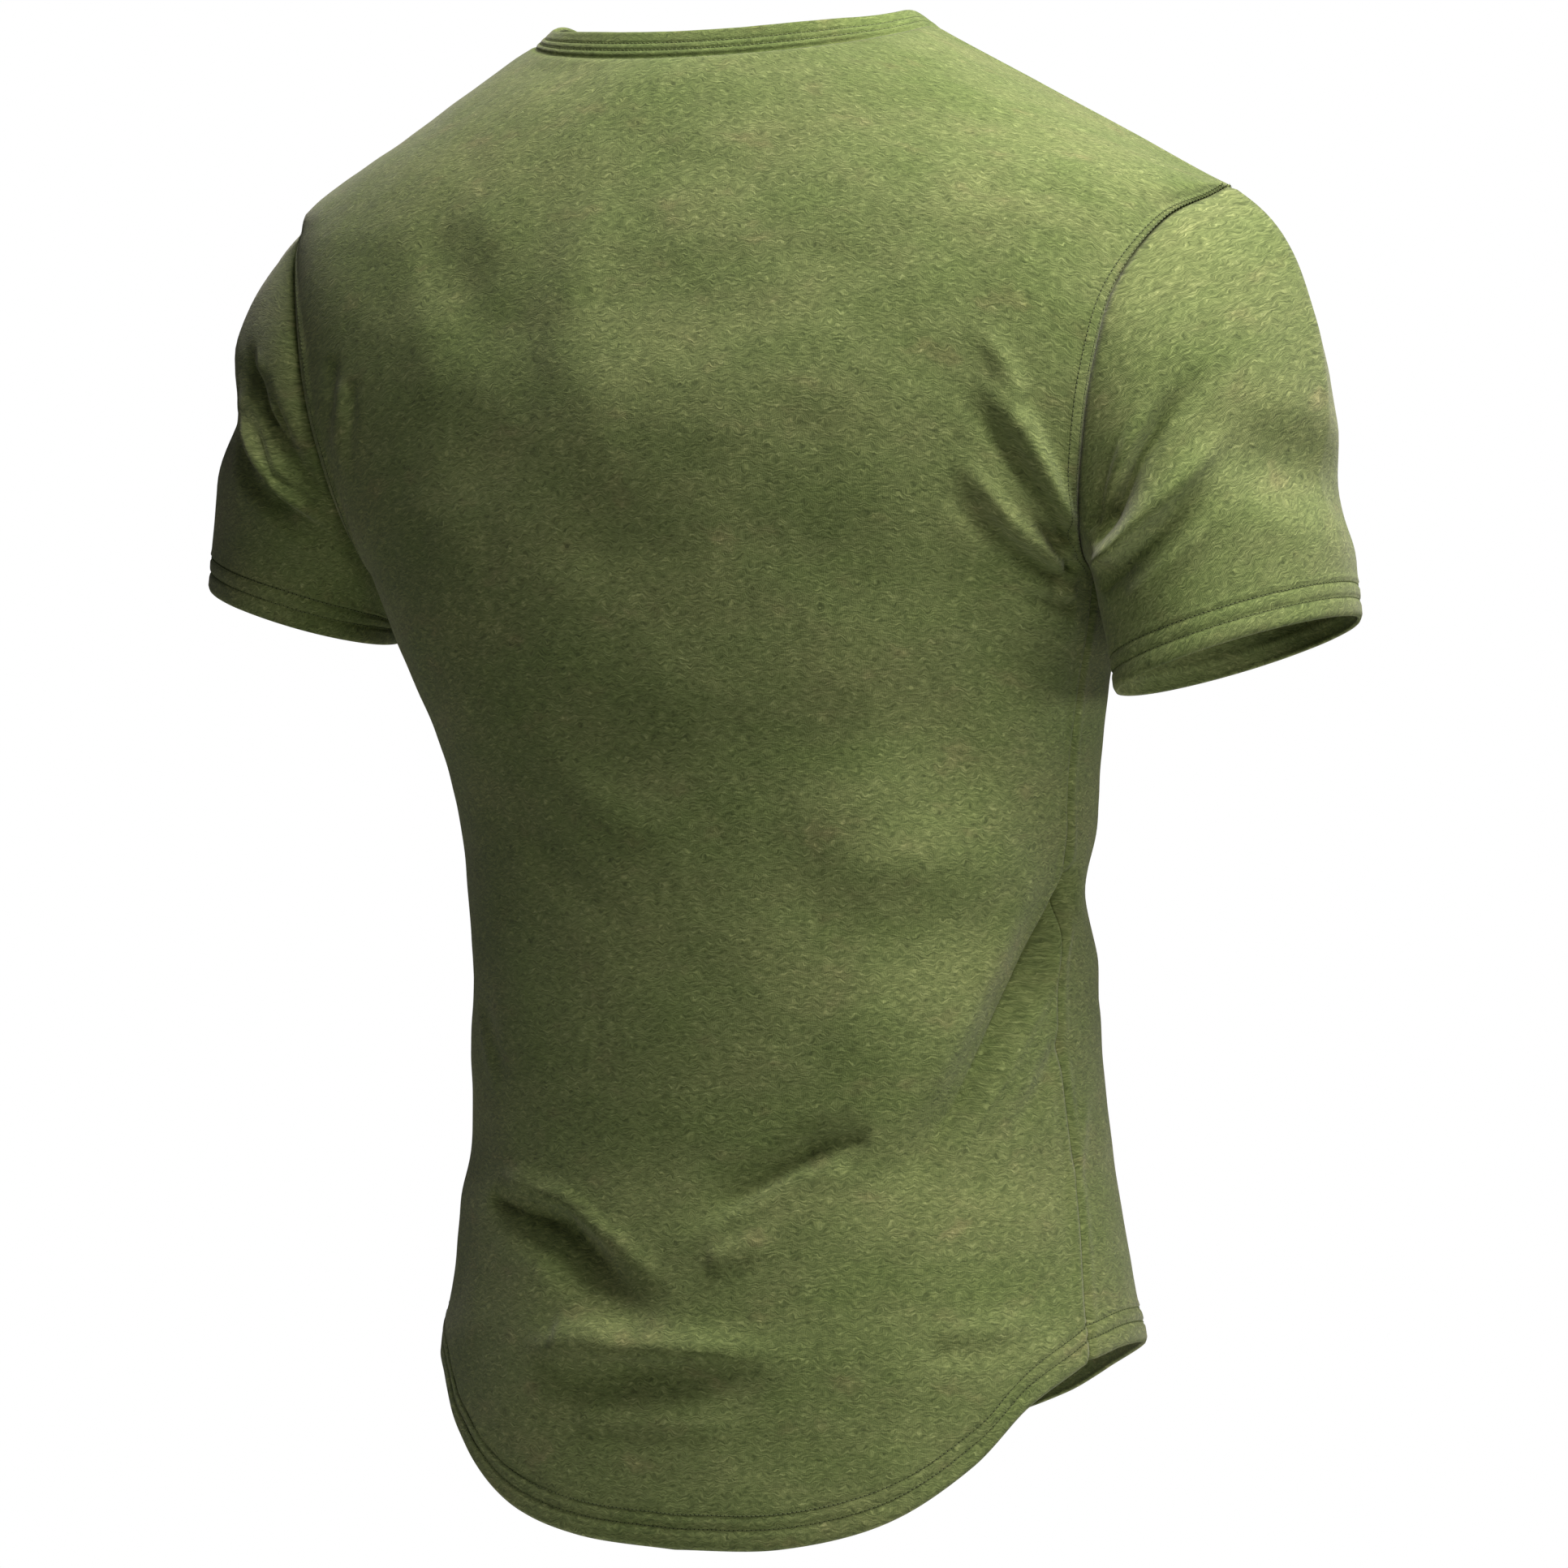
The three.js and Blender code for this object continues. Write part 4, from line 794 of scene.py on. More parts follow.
STRIP_HALF = 14.5            # placket's upper strip, which keeps the front calm beside it
STRIP_LENGTH = 138
PLACKET_CALM = 22
ARM_BAND = {"width": 8.5, "start": 0.6, "rise": 0.75, "ease": 1.6}    # under its stitching
ARM_ENDS = 0.4
SIDE_RIDGE = {"centre": 4.0, "half": 3.2, "rise": 0.5}
SEAM_SINK = 1.3
SEAM_REACH = 2.4
SEAM_CALM = 12
NECK_ROLL = {"sink": 0.9, "reach": 2.5}
EASING_TURNS = 36            # passes that round the form off beside its corner stations
EASED_INSIDE = 45
EASED_ROWS = {SHOULDER_TIP: 1.5, UNDERARM: 2.5}
PANEL_WAVES = [(46, 1.6, 0), (17, 0.4, 500)]
HEM_DEPTH = 20
HEM_STITCHES = (9.5, 16)
HEM_ROLL = {"sink": 1.1, "reach": 2.2}
HEM_GROOVE = {"sink": 0.95, "half": 1.7}
HEM_STEP = {"rise": 0.35, "ease": 3}
HEM_HOLD = {"start": 18, "span": 40}      # the folds fade towards the hem


def bump_at(distance, centre, reach):
    """A soft round bump from 0 up to 1 at a centre, and down again."""
    return np.maximum(0, 1 - ((distance - centre) / reach) ** 2) ** 2


def hem_relief(distance, lines, depth):
    """Turned hem: a soft roll at the edge and a groove under each line of stitches."""
    relief = -HEM_ROLL["sink"] * smoothstep(1 - distance / HEM_ROLL["reach"])
    for line in lines:
        relief = relief - HEM_GROOVE["sink"] * bump_at(distance, line, HEM_GROOVE["half"])
    return relief + HEM_STEP["rise"] * smoothstep((depth - distance) / HEM_STEP["ease"])


slot_bottom = -NECK_DROP["front"] - SLOT_LENGTH
rows = panel_rows()
columns = panel_columns()
waist_row = np.abs(rows - WAIST).argmin()
panels = {}
for panel in ("back", "front"):
    place, share = np.meshgrid(rows, columns, indexing="ij")
    level = net_level(panel, share, place)
    plain = form_point(panel, share, level)
    edge_gap = (1 - np.abs(share)) * half_width(panel, level)
    eased = plain.copy()
    for _ in range(EASING_TURNS):
        eased[1:-1] = (eased[:-2] + 2 * eased[1:-1] + eased[2:]) / 4
    at_corner = np.maximum(*[bump_at(place, corner, reach) for corner, reach in EASED_ROWS.items()])
    plain += (eased - plain) * (at_corner * smoothstep(edge_gap / EASED_INSIDE))[..., None]
    normal = form_normal(panel, share, level)
    at_armhole = smoothstep((place - SHOULDER_TIP) / ARM_ENDS) * smoothstep((UNDERARM - place) / ARM_ENDS)
    steps = np.linalg.norm(np.diff(plain, axis=0), axis=-1)
    down = np.concatenate([np.zeros((1, share.shape[1])), np.cumsum(steps, axis=0)])
    hem_gap = down[-1] - down
    seam = -SEAM_SINK * smoothstep(1 - edge_gap / SEAM_REACH)
    band_starts = smoothstep((edge_gap - ARM_BAND["start"]) / ARM_BAND["ease"])
    band_ends = smoothstep((ARM_BAND["width"] - edge_gap) / ARM_BAND["ease"])
    strip = ARM_BAND["rise"] * band_starts * band_ends
    beside_seam = SIDE_RIDGE["rise"] * bump_at(edge_gap, SIDE_RIDGE["centre"], SIDE_RIDGE["half"])
    ridge = beside_seam * (1 - at_armhole) * (place > UNDERARM)
    relief = seam + strip * at_armhole + ridge + hem_relief(hem_gap, HEM_STITCHES, HEM_DEPTH)
    relief = relief - NECK_ROLL["sink"] * smoothstep(1 - down / NECK_ROLL["reach"])
    lift = fold_rise("body", plain, normal) * smoothstep((hem_gap + HEM_HOLD["start"]) / HEM_HOLD["span"])
    calm = smoothstep(edge_gap / SEAM_CALM) * smoothstep(down / SEAM_CALM)
    lift += soft_unevenness(plain, PANEL_WAVES) * calm
    if panel == "front":
        below_strip = -NECK_DROP["front"] - STRIP_LENGTH - level
        from_placket = np.maximum(np.abs(plain[..., 0]) - STRIP_HALF, below_strip)
        lift *= smoothstep(from_placket / PLACKET_CALM)
    points = plain + normal * (lift + relief)[..., None]
    from_middle = np.sign(share) * (half_width(panel, level) - edge_gap)
    cloth = np.stack([from_middle, down[waist_row] - down], axis=-1)
    panels[panel] = {
        "place": place, "share": share, "points": points, "normal": normal, "edge_gap": edge_gap,
        "hem_gap": hem_gap,
    }

    def keep(row, column, level=level, panel=panel):
        middle = abs(columns[column] + columns[column + 1]) / 2 < SIDE_FIRST
        return panel == "back" or not middle or level[row, len(columns) // 2] < slot_bottom

    shape = grid_shape(points, cloth, keep)
    turn_outward(shape, points, normal)
    made = mesh_object(f"{panel}_cloth", shape, jersey)
    thicken(made, JERSEY)
    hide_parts(f"{panel}_panel")
    panels[panel]["object"] = made


# Coverstitching and topstitching
# Rows of short thread stitches lie in the grooves that they pull into the hems, beside the
# armholes, along the neckband and round the placket. A near-black dot of painted shade,
# for the shadow in its needle hole, parts each two.
THREAD_COLOUR = (0.130, 0.158, 0.050)
# painted shade and painted highlight: the dark and light sides of the thread's twist, laid as random specks
THREAD_SHADE_AND_HIGHLIGHT = {"A": 0.72, "B": 1.25}     # dark and light sides of its twist
# painted shade: near-black dots stand for the shadow inside each needle hole
HOLE_SHADE_COLOUR = (0.018, 0.022, 0.008)
STITCH_PITCH = 2.1
STITCH_LENGTH = 1.65
STITCH_RADIUS = 0.27
STITCH_LIFT = 0.12
SHADE_DOT_RADIUS = 0.36
HALF_LOOK = 0.5              # the way along a line is taken this far ahead and behind

thread = bpy.data.materials.new("olive_thread")
thread.use_nodes = True
thread_shader = thread.node_tree.nodes["Principled BSDF"]
# noise that scatters the painted shade and highlight of the twist over the thread
twist_light_noise = node(thread.node_tree, "ShaderNodeTexNoise", {"Scale": 2600.0, "Detail": 1.0})
thread_place = node(thread.node_tree, "ShaderNodeTexCoord", {})
thread.node_tree.links.new(thread_place.outputs["Object"], twist_light_noise.inputs["Vector"])
thread_painted_light = node(
    thread.node_tree, "ShaderNodeMix", {"Factor": twist_light_noise.outputs["Fac"]}, data_type="RGBA",
)
for socket, brightness in THREAD_SHADE_AND_HIGHLIGHT.items():
    thread_painted_light.inputs[socket].default_value = (*[brightness * c for c in THREAD_COLOUR], 1)
thread.node_tree.links.new(thread_painted_light.outputs["Result"], thread_shader.inputs["Base Color"])
thread_shader.inputs["Roughness"].default_value = 0.6

# painted shade: a near-black material for the dots at the needle holes
painted_hole_shade = bpy.data.materials.new("painted_hole_shade")
painted_hole_shade.use_nodes = True
painted_shade_shader = painted_hole_shade.node_tree.nodes["Principled BSDF"]
painted_shade_shader.inputs["Base Color"].default_value = (*HOLE_SHADE_COLOUR, 1)
painted_shade_shader.inputs["Roughness"].default_value = 1.0


def at_lengths(values, reached, goals):
    """Points or directions of a path, at lengths along it."""
    return np.stack([np.interp(goals, reached, values[:, k]) for k in range(3)], axis=1)


def evenly_spaced(path, normals, pitch, first=0.5):
    """Places every pitch along a line, with the way along it and out of the cloth."""
    reached = reached_along(path)
    count = int(reached[-1] / pitch)
    goals = (np.arange(count) + first) * reached[-1] / count
    here = at_lengths(path, reached, goals)
    ahead = at_lengths(path, reached, np.minimum(goals + HALF_LOOK, reached[-1]))
    behind = at_lengths(path, reached, np.maximum(goals - HALF_LOOK, 0))
    along = unit(ahead - behind)
    out = unit(at_lengths(normals, reached, goals))
    out = unit(out - along * (out * along).sum(axis=1, keepdims=True))
    return here, along, out


def bead_shape(length, radius, height, segments=6, rings=4):
    """Points and faces of one long bead, along X and with Z out of the cloth."""
    shape = bmesh.new()
    bmesh.ops.create_uvsphere(shape, u_segments=segments, v_segments=rings, radius=1)
    bmesh.ops.rotate(shape, verts=shape.verts, matrix=Matrix.Rotation(math.pi / 2, 3, "Y"))
    bmesh.ops.scale(shape, verts=shape.verts, vec=(length / 2, radius, height))
    points = np.array([v.co[:] for v in shape.verts])
    shape.verts.index_update()
    faces = [[v.index for v in f.verts] for f in shape.faces]
    shape.free()
    return points, faces


def joined_beads(name, groups, material):
    """One mesh of many beads; each group has a bead and the places, ways and outs to lay it."""
    points, faces = [], []
    count = 0
    for (bead_points, bead_faces), (here, along, out) in groups:
        aside = np.cross(out, along)
        laid = (
            here[:, None] + bead_points[None, :, :1] * along[:, None]
            + bead_points[None, :, 1:2] * aside[:, None] + bead_points[None, :, 2:] * out[:, None]
        )
        points.append(laid.reshape(-1, 3) * MM)
        for i in range(len(here)):
            start = count + i * len(bead_points)
            faces.extend([[start + corner for corner in face] for face in bead_faces])
        count += len(here) * len(bead_points)
    mesh = bpy.data.meshes.new(name)
    mesh.from_pydata(np.concatenate(points).tolist(), [], faces)
    mesh.materials.append(material)
    mesh.shade_smooth()
    made = bpy.data.objects.new(name, mesh)
    bpy.context.scene.collection.objects.link(made)
    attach(made, "root")
    return made


stitch_bead = bead_shape(STITCH_LENGTH, STITCH_RADIUS, STITCH_RADIUS * 0.8)
# flat dots of painted shade, laid in the cloth at the needle holes
shade_dot_bead = bead_shape(SHADE_DOT_RADIUS * 2, SHADE_DOT_RADIUS, SHADE_DOT_RADIUS * 0.5, rings=3)


def sewn(name, lines):
    """Lays stitches along lines, each a path and its outward directions, with dots of painted shade at the
    needle holes.
    """
    stitches, shade_dots = [], []
    for path, normals in lines:
        raised = path + normals * STITCH_LIFT
        stitches.append((stitch_bead, evenly_spaced(raised, normals, STITCH_PITCH)))
        shade_dots.append((shade_dot_bead, evenly_spaced(path, normals, STITCH_PITCH, first=0.0)))
    return [
        joined_beads(name + "_stitches", stitches, thread),
        joined_beads(name + "_painted_hole_shades", shade_dots, painted_hole_shade),
    ]


def line_down(points, normals, gaps, distance):
    """The line across a net where a distance that shrinks down each column has a value."""
    path, outs = [], []
    for column in range(points.shape[1]):
        order = gaps[::-1, column]
        path.append([np.interp(distance, order, points[::-1, column, k]) for k in range(3)])
        outs.append([np.interp(distance, order, normals[::-1, column, k]) for k in range(3)])
    return np.array(path), unit(np.array(outs))


def line_beside(panel, side, distance):
    """The line down a panel at a distance from its left or right armhole."""
    data = panels[panel]
    rows = np.where((data["place"][:, 0] >= SHOULDER_TIP) & (data["place"][:, 0] <= UNDERARM))[0]
    half = data["share"].shape[1] // 2
    picked = slice(half, None) if side == "left" else slice(half, None, -1)
    path, outs = [], []
    for row in rows:
        gaps = data["edge_gap"][row, picked][::-1]
        path.append([np.interp(distance, gaps, data["points"][row, picked, k][::-1]) for k in range(3)])
        outs.append([np.interp(distance, gaps, data["normal"][row, picked, k][::-1]) for k in range(3)])
    return np.array(path), unit(np.array(outs))


ARM_STITCHES = (1.9, 6.3)
RUNG = {"lift": 0.08, "radius": 0.2, "height": 0.16}      # thread between the two rows
for panel in ("back", "front"):
    data = panels[panel]
    sewing = sewn(f"{panel}_hem", [
        line_down(data["points"], data["normal"], data["hem_gap"], distance) for distance in HEM_STITCHES
    ])
    for side in ("left", "right"):
        near, far = [line_beside(panel, side, distance) for distance in ARM_STITCHES]
        sewing += sewn(f"{panel}_{side}_armhole", [near, far])
        middle_line = (near[0] + far[0]) / 2 + near[1] * RUNG["lift"]
        here, along, out = evenly_spaced(middle_line, near[1], STITCH_PITCH)
        rung_bead = bead_shape(ARM_STITCHES[1] - ARM_STITCHES[0], RUNG["radius"], RUNG["height"])
        rungs = [(rung_bead, (here, np.cross(out, along), out))]
        sewing.append(joined_beads(f"{panel}_{side}_armhole_rungs", rungs, thread))
    data["sewing"] = sewing


# Sleeves
# Each set-in sleeve is one piece of the same jersey, sewn into a tube under the arm and
# into the armhole, with a turned and coverstitched cuff. They hang a little differently.
SLEEVE_CAP = table("round out back down reach rise", [
    [0, 0.4, 0, 0.92, 10, 12],
    [0.143, 0.5, 0.1, 0.86, 20, 22],
    [0.25, 0.6, 0.1, 0.79, 34, 40],
    [0.357, 0.76, 0.05, 0.65, 48, 56],
    [0.5, 0.88, 0, 0.47, 60, 74],
    [0.643, 0.82, -0.1, 0.56, 58, 66],
    [0.75, 0.6, -0.15, 0.78, 34, 40],
    [0.857, 0.5, -0.1, 0.86, 20, 22],
    [1, 0.4, 0, 0.92, 10, 12],
])
CUFF = {"y": -28, "long": 62.5, "short": 46, "lean": 25, "turn": 26, "flare": 0.12}
CUFFS = {
    "left": {"x": 240, "level": -262, "slope": 0.3, "mirror": 1},
    "right": {"x": 234, "level": -285, "slope": 0.36, "mirror": -1},
}
CUFF_STITCHES = (8.5, 15.5)
CUFF_DEPTH = 19.5
CUFF_FINE = 22
SLEEVE_COLUMNS = 150
SLEEVE_ROWS = 44
SLEEVE_SLANT = {"left": 0.3, "right": -0.3}
SLEEVE_SINK_REACH = 3.5
SLEEVE_WAVES = [(40, 1.2, 0), (15, 0.3, 300)]
CUFF_HOLD = {"start": 6, "span": 26}      # the folds fade towards the cuff
CUFF_SHARE = 0.6             # at most this share of a short side has the cuff's close rows
CURVE_PLACES = 161


def sleeve_curves(round_share, cuff):
    """Control points of the curves from the armhole to the cuff of the left sleeve."""
    place = place_of(SLEEVE_CAP, "round", round_share)
    way = unit(np.stack([
        smooth(SLEEVE_CAP, "out", place), smooth(SLEEVE_CAP, "back", place),
        -smooth(SLEEVE_CAP, "down", place),
    ], axis=-1))
    from_underarm = np.where(round_share <= 0.5, round_share, 1 - round_share)
    seam_place = UNDERARM - (UNDERARM - SHOULDER_TIP) * from_underarm * 2
    at_back = (round_share <= 0.5)[:, None]
    start = np.where(at_back, edge_point("back", seam_place), edge_point("front", seam_place))
    clock = round_share * 2 * math.pi + math.radians(CUFF["turn"])
    lean = math.radians(CUFF["lean"])
    inwards = np.array([-math.cos(lean), -math.sin(lean)])
    backwards = np.array([-math.sin(lean), math.cos(lean)])
    offset = (
        CUFF["short"] * np.cos(clock)[:, None] * inwards + CUFF["long"] * np.sin(clock)[:, None] * backwards
    )
    end = np.stack([
        cuff["x"] + offset[:, 0], CUFF["y"] + offset[:, 1], cuff["level"] + cuff["slope"] * offset[:, 0],
    ], axis=-1)
    hang = unit(np.array([-CUFF["flare"], 0, 1]))
    reach = smooth(SLEEVE_CAP, "reach", place)[:, None]
    rise = smooth(SLEEVE_CAP, "rise", place)[:, None]
    return [start, start + way * reach, end + hang * rise, end]


def sleeve_net(side):
    """Points of a sleeve in rows from the armhole to the cuff, and their distance to it."""
    round_share = np.linspace(0, 1, SLEEVE_COLUMNS + 1)
    controls = sleeve_curves(round_share, CUFFS[side])
    t = np.linspace(0, 1, CURVE_PLACES)
    curve = bezier([c[:, None] for c in controls], np.broadcast_to(t, (len(round_share), len(t))))
    chords = np.linalg.norm(np.diff(curve, axis=1), axis=2)
    reached = np.concatenate([np.zeros((len(round_share), 1)), np.cumsum(chords, axis=1)], axis=1)
    fine = np.linspace(0, 1, round(CUFF_FINE / HEM_ROW_STEP) + 1)
    plain = np.linspace(0, 1, SLEEVE_ROWS)
    net, gaps = [], []
    for column in range(len(round_share)):
        length = reached[column, -1]
        near_cuff = min(CUFF_FINE, CUFF_SHARE * length)
        goals = np.concatenate([plain[:-1] * (length - near_cuff), length - near_cuff * (1 - fine)])
        net.append(at_lengths(curve[column], reached[column], goals))
        gaps.append(length - goals)
    net = np.stack(net, axis=1)
    net[..., 0] *= CUFFS[side]["mirror"]
    return net, np.stack(gaps, axis=1)


def net_normals(net, sign):
    """Outward directions of a net whose columns run round a tube and meet."""
    wrapped = np.concatenate([net[:, -2:-1], net, net[:, 1:2]], axis=1)
    round_way = wrapped[:, 2:] - wrapped[:, :-2]
    down_way = np.gradient(net, axis=0)
    return unit(np.cross(down_way, round_way)) * sign


for side in ("left", "right"):
    net, cuff_gap = sleeve_net(side)
    mirror = CUFFS[side]["mirror"]
    normal = net_normals(net, mirror)
    centre = net.mean(axis=1, keepdims=True)
    if ((net - centre) * normal).sum(axis=-1)[len(net) // 2:].mean() < 0:
        normal = -normal
    seam_gap = cuff_gap[:1] - cuff_gap
    lift = fold_rise(side, net, normal) * smoothstep((cuff_gap + CUFF_HOLD["start"]) / CUFF_HOLD["span"])
    lift += soft_unevenness(net, SLEEVE_WAVES) * smoothstep(seam_gap / SEAM_CALM)
    relief = hem_relief(cuff_gap, CUFF_STITCHES, CUFF_DEPTH)
    points = net + normal * (lift + relief)[..., None]
    ring = np.arange(SLEEVE_COLUMNS + 1) / SLEEVE_COLUMNS
    ring_side = np.full(ring.shape, float(mirror))
    panel_normal = np.where(
        (ring <= 0.5)[:, None],
        form_normal("back", ring_side, net[0, :, 2]), form_normal("front", ring_side, net[0, :, 2]),
    )
    points -= SEAM_SINK * smoothstep(1 - seam_gap / SLEEVE_SINK_REACH)[..., None] * panel_normal
    points[:, -1] = points[:, 0]
    girth = np.linalg.norm(np.diff(net, axis=1), axis=2).sum(axis=1).mean()
    around = np.broadcast_to(np.linspace(0, girth, SLEEVE_COLUMNS + 1), cuff_gap.shape)
    cloth = np.stack([around, cuff_gap], axis=-1)
    shape = grid_shape(points, cloth, closed=True)
    turn_outward(shape, points, normal)
    sleeve_jersey = jersey_material(f"{side}_sleeve_jersey", JERSEY_COLOUR, slant=SLEEVE_SLANT[side])
    sleeve = mesh_object(f"{side}_sleeve_cloth", shape, sleeve_jersey)
    thicken(sleeve, JERSEY)
    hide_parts(f"sleeve_{side}")
    sewing = sewn(f"{side}_cuff", [line_down(points, normal, cuff_gap, d) for d in CUFF_STITCHES])


# Neckband
# A strip of jersey folded double round the neck seam and held by two rows of coverstitch.
# It runs from one side of the placket round the back of the neck to the other.
BAND_CLOTH = 2.2
BAND_HEIGHT = 12.5
BAND_LEAN = {"side": 1.33, "back": 0.32, "front": 0.66}
BAND_STITCHES = (3.4, 6.8)
BAND_PITCH = 2.6
BAND_FOOT = -0.85            # it starts a little below the seam, so that no light comes through
BAND_FACE_TOP = BAND_HEIGHT - 1.2
BAND_FACE_STEP = 0.45
BAND_SINK = {"depth": 0.75, "reach": 1.6}
BAND_SWELL = {"rise": 0.12, "half": 1.6}
BAND_GROOVE = {"sink": 0.34, "half": 1.1}
BAND_WAVER = {"size": 9, "amount": 0.22}
BAND_STITCH_SINK = 0.4
SEAM_PLACES = 200


def neck_seam(panel, share):
    """Points of the neck seam at shares across a panel."""
    return form_point(panel, share, neck_level(panel, np.abs(share)))


def band_way(seam):
    """The way up the band at points of the neck seam."""
    to_side = np.minimum(np.abs(seam[..., :1]) / NECK_HALF, 1) ** 2
    nothing = np.zeros_like(seam[..., 0])
    side = unit(np.stack([-np.sign(seam[..., 0]) * BAND_LEAN["side"], nothing, nothing + 1], axis=-1))
    ends = np.where(seam[..., 1] > 0, -BAND_LEAN["back"], BAND_LEAN["front"])
    middle = unit(np.stack([nothing, ends, nothing + 1], axis=-1))
    return unit(side * to_side + middle * (1 - to_side))


round_front = np.linspace(SIDE_FIRST, 1, SEAM_PLACES)
round_back = np.linspace(1, -1, 2 * SEAM_PLACES)
seam_line = np.concatenate([
    neck_seam("front", round_front), neck_seam("back", round_back)[1:-1],
    neck_seam("front", -round_front[::-1]),
])
seam_reached = reached_along(seam_line)
band_goals = np.linspace(0, seam_reached[-1], round(seam_reached[-1] / BAND_PITCH) + 1)
seam_line = at_lengths(seam_line, seam_reached, band_goals)
band_up = band_way(seam_line)
band_out = unit(np.cross(np.gradient(seam_line, axis=0), band_up))

# The band's section: up its face, over the fold and down inside, as height and depth
face_heights = np.arange(BAND_FOOT, BAND_FACE_TOP, BAND_FACE_STEP)
between_stitches = sum(BAND_STITCHES) / 2
face_depths = -BAND_SINK["depth"] * smoothstep(1 - face_heights / BAND_SINK["reach"])
face_depths += BAND_SWELL["rise"] * bump_at(face_heights, between_stitches, BAND_SWELL["half"])
for line in BAND_STITCHES:
    face_depths -= BAND_GROOVE["sink"] * bump_at(face_heights, line, BAND_GROOVE["half"])
fold_turn = np.linspace(0, math.pi, 9)[1:-1]
fold_radius = BAND_CLOTH / 2
fold_heights = BAND_HEIGHT - fold_radius + fold_radius * np.sin(fold_turn)
fold_depths = -fold_radius * (1 - np.cos(fold_turn))
inner_heights = np.linspace(BAND_FACE_TOP, BAND_FOOT, 9)
inner_depths = np.full(len(inner_heights), -BAND_CLOTH)
section_height = np.concatenate([face_heights, fold_heights, inner_heights, face_heights[:1]])
section_depth = np.concatenate([face_depths, fold_depths, inner_depths, face_depths[:1]])
waver = [noise.noise(Vector(p) / BAND_WAVER["size"]) for p in seam_line]
band_waver = np.array(waver) * BAND_WAVER["amount"]
band_net = (
    seam_line[None] + band_up[None] * section_height[:, None, None]
    + band_out[None] * (section_depth[:, None] + band_waver[None])[..., None]
)
band_round = np.concatenate([
    [0], np.cumsum(np.hypot(np.diff(section_height), np.diff(section_depth))),
])
band_cloth = np.stack(np.broadcast_arrays(band_goals[None], band_round[:, None]), axis=-1)
shape = grid_shape(band_net, band_cloth, closed=True)
bmesh.ops.holes_fill(shape, edges=[e for e in shape.edges if e.is_boundary], sides=0)
bmesh.ops.recalc_face_normals(shape, faces=shape.faces)
band_jersey = jersey_material("neckband_jersey", (0.162, 0.204, 0.060), contrast=0.8)
neckband = mesh_object("neckband_cloth", shape, band_jersey)
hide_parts("neckband")


def band_line(height):
    """A line of stitching along the face of the band, and its outward directions."""
    sunk = band_out * (band_waver - BAND_STITCH_SINK)[:, None]
    return seam_line + band_up * height + sunk, band_out


sewing = sewn("neckband", [band_line(height) for height in BAND_STITCHES])


# Placket
# Two pressed strips of jersey on the middle of the front: the under strip fills the cut in
# the front, and the upper one covers it, topstitched all round, and closes over the band.
LAY_GAP = 0.35
STRIP_CLOTH = 1.5
SEAM_GAP = 0.4
EDGE_STITCH = 2.2
BOX_STITCH = 12
TOP_STITCH = 1.5
STRIP_ROLL = {"sink": 0.7, "reach": 1.2}
STRIP_GROOVE = {"sink": 0.3, "half": 1.2}
STRIP_ROW = 2.4
STRIP_COLUMN = 1.1


def front_share(distance, level):
    """Share across the front where the cloth is a distance from the middle."""
    length = half_width("front", level)
    away = np.abs(distance)
    beyond = SIDE_FIRST + (1 - SIDE_FIRST) * (away - SLOT_HALF) / (length - SLOT_HALF)
    return np.sign(distance) * np.where(away <= SLOT_HALF, SIDE_FIRST * away / SLOT_HALF, beyond)


def strip_net(half, lowest):
    """Form of a strip from its lower end up the front and over the band, with distances."""
    distance = np.linspace(-half, half, round(2 * half / STRIP_COLUMN) + 1)
    share = front_share(distance, np.full(distance.shape, -float(NECK_DROP["front"])))
    seam_level = neck_level("front", np.abs(share))
    length = seam_level.mean() - lowest
    up = np.linspace(0, 1, round(length / STRIP_ROW) + 1)[:, None]
    level = lowest + (seam_level - lowest) * up
    across = np.broadcast_to(distance, level.shape)
    here = front_share(across, level)
    cloth_points = form_point("front", here, level)
    cloth_out = form_normal("front", here, level)
    seam = neck_seam("front", share)
    way = band_way(seam)
    over_out = unit(np.cross(np.array([1.0, 0, 0]), way))
    climbs = np.linspace(0, BAND_HEIGHT, 7)[1:]
    over = np.stack([seam + way * climb for climb in climbs])
    net = np.concatenate([cloth_points, over])
    out = np.concatenate([cloth_out, np.broadcast_to(over_out, over.shape)])
    rise = np.concatenate([length * up[:, 0], length + climbs])
    rise = np.broadcast_to(rise[:, None], net.shape[:2])
    side = np.broadcast_to(distance, net.shape[:2])
    return net, unit(out), side, rise


placket_jersey = jersey_material("placket_jersey", (0.152, 0.192, 0.056), contrast=0.85)
upper_lowest = -NECK_DROP["front"] - STRIP_LENGTH
net, out, aside, rise = strip_net(STRIP_HALF, upper_lowest)
edge = np.minimum(np.minimum(STRIP_HALF - np.abs(aside), rise), rise.max() - rise)
relief = -STRIP_ROLL["sink"] * smoothstep(1 - edge / STRIP_ROLL["reach"])
relief -= STRIP_GROOVE["sink"] * bump_at(edge, EDGE_STITCH, STRIP_GROOVE["half"])
relief -= STRIP_GROOVE["sink"] * bump_at(rise, BOX_STITCH, STRIP_GROOVE["half"]) * (edge > EDGE_STITCH)
points = net + out * (LAY_GAP + STRIP_CLOTH + relief)[..., None]
shape = grid_shape(points, np.stack([aside, rise], axis=-1))
turn_outward(shape, points, out)
upper_strip = mesh_object("placket_upper_strip", shape, placket_jersey)
thicken(upper_strip, STRIP_CLOTH)
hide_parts("placket_upper")


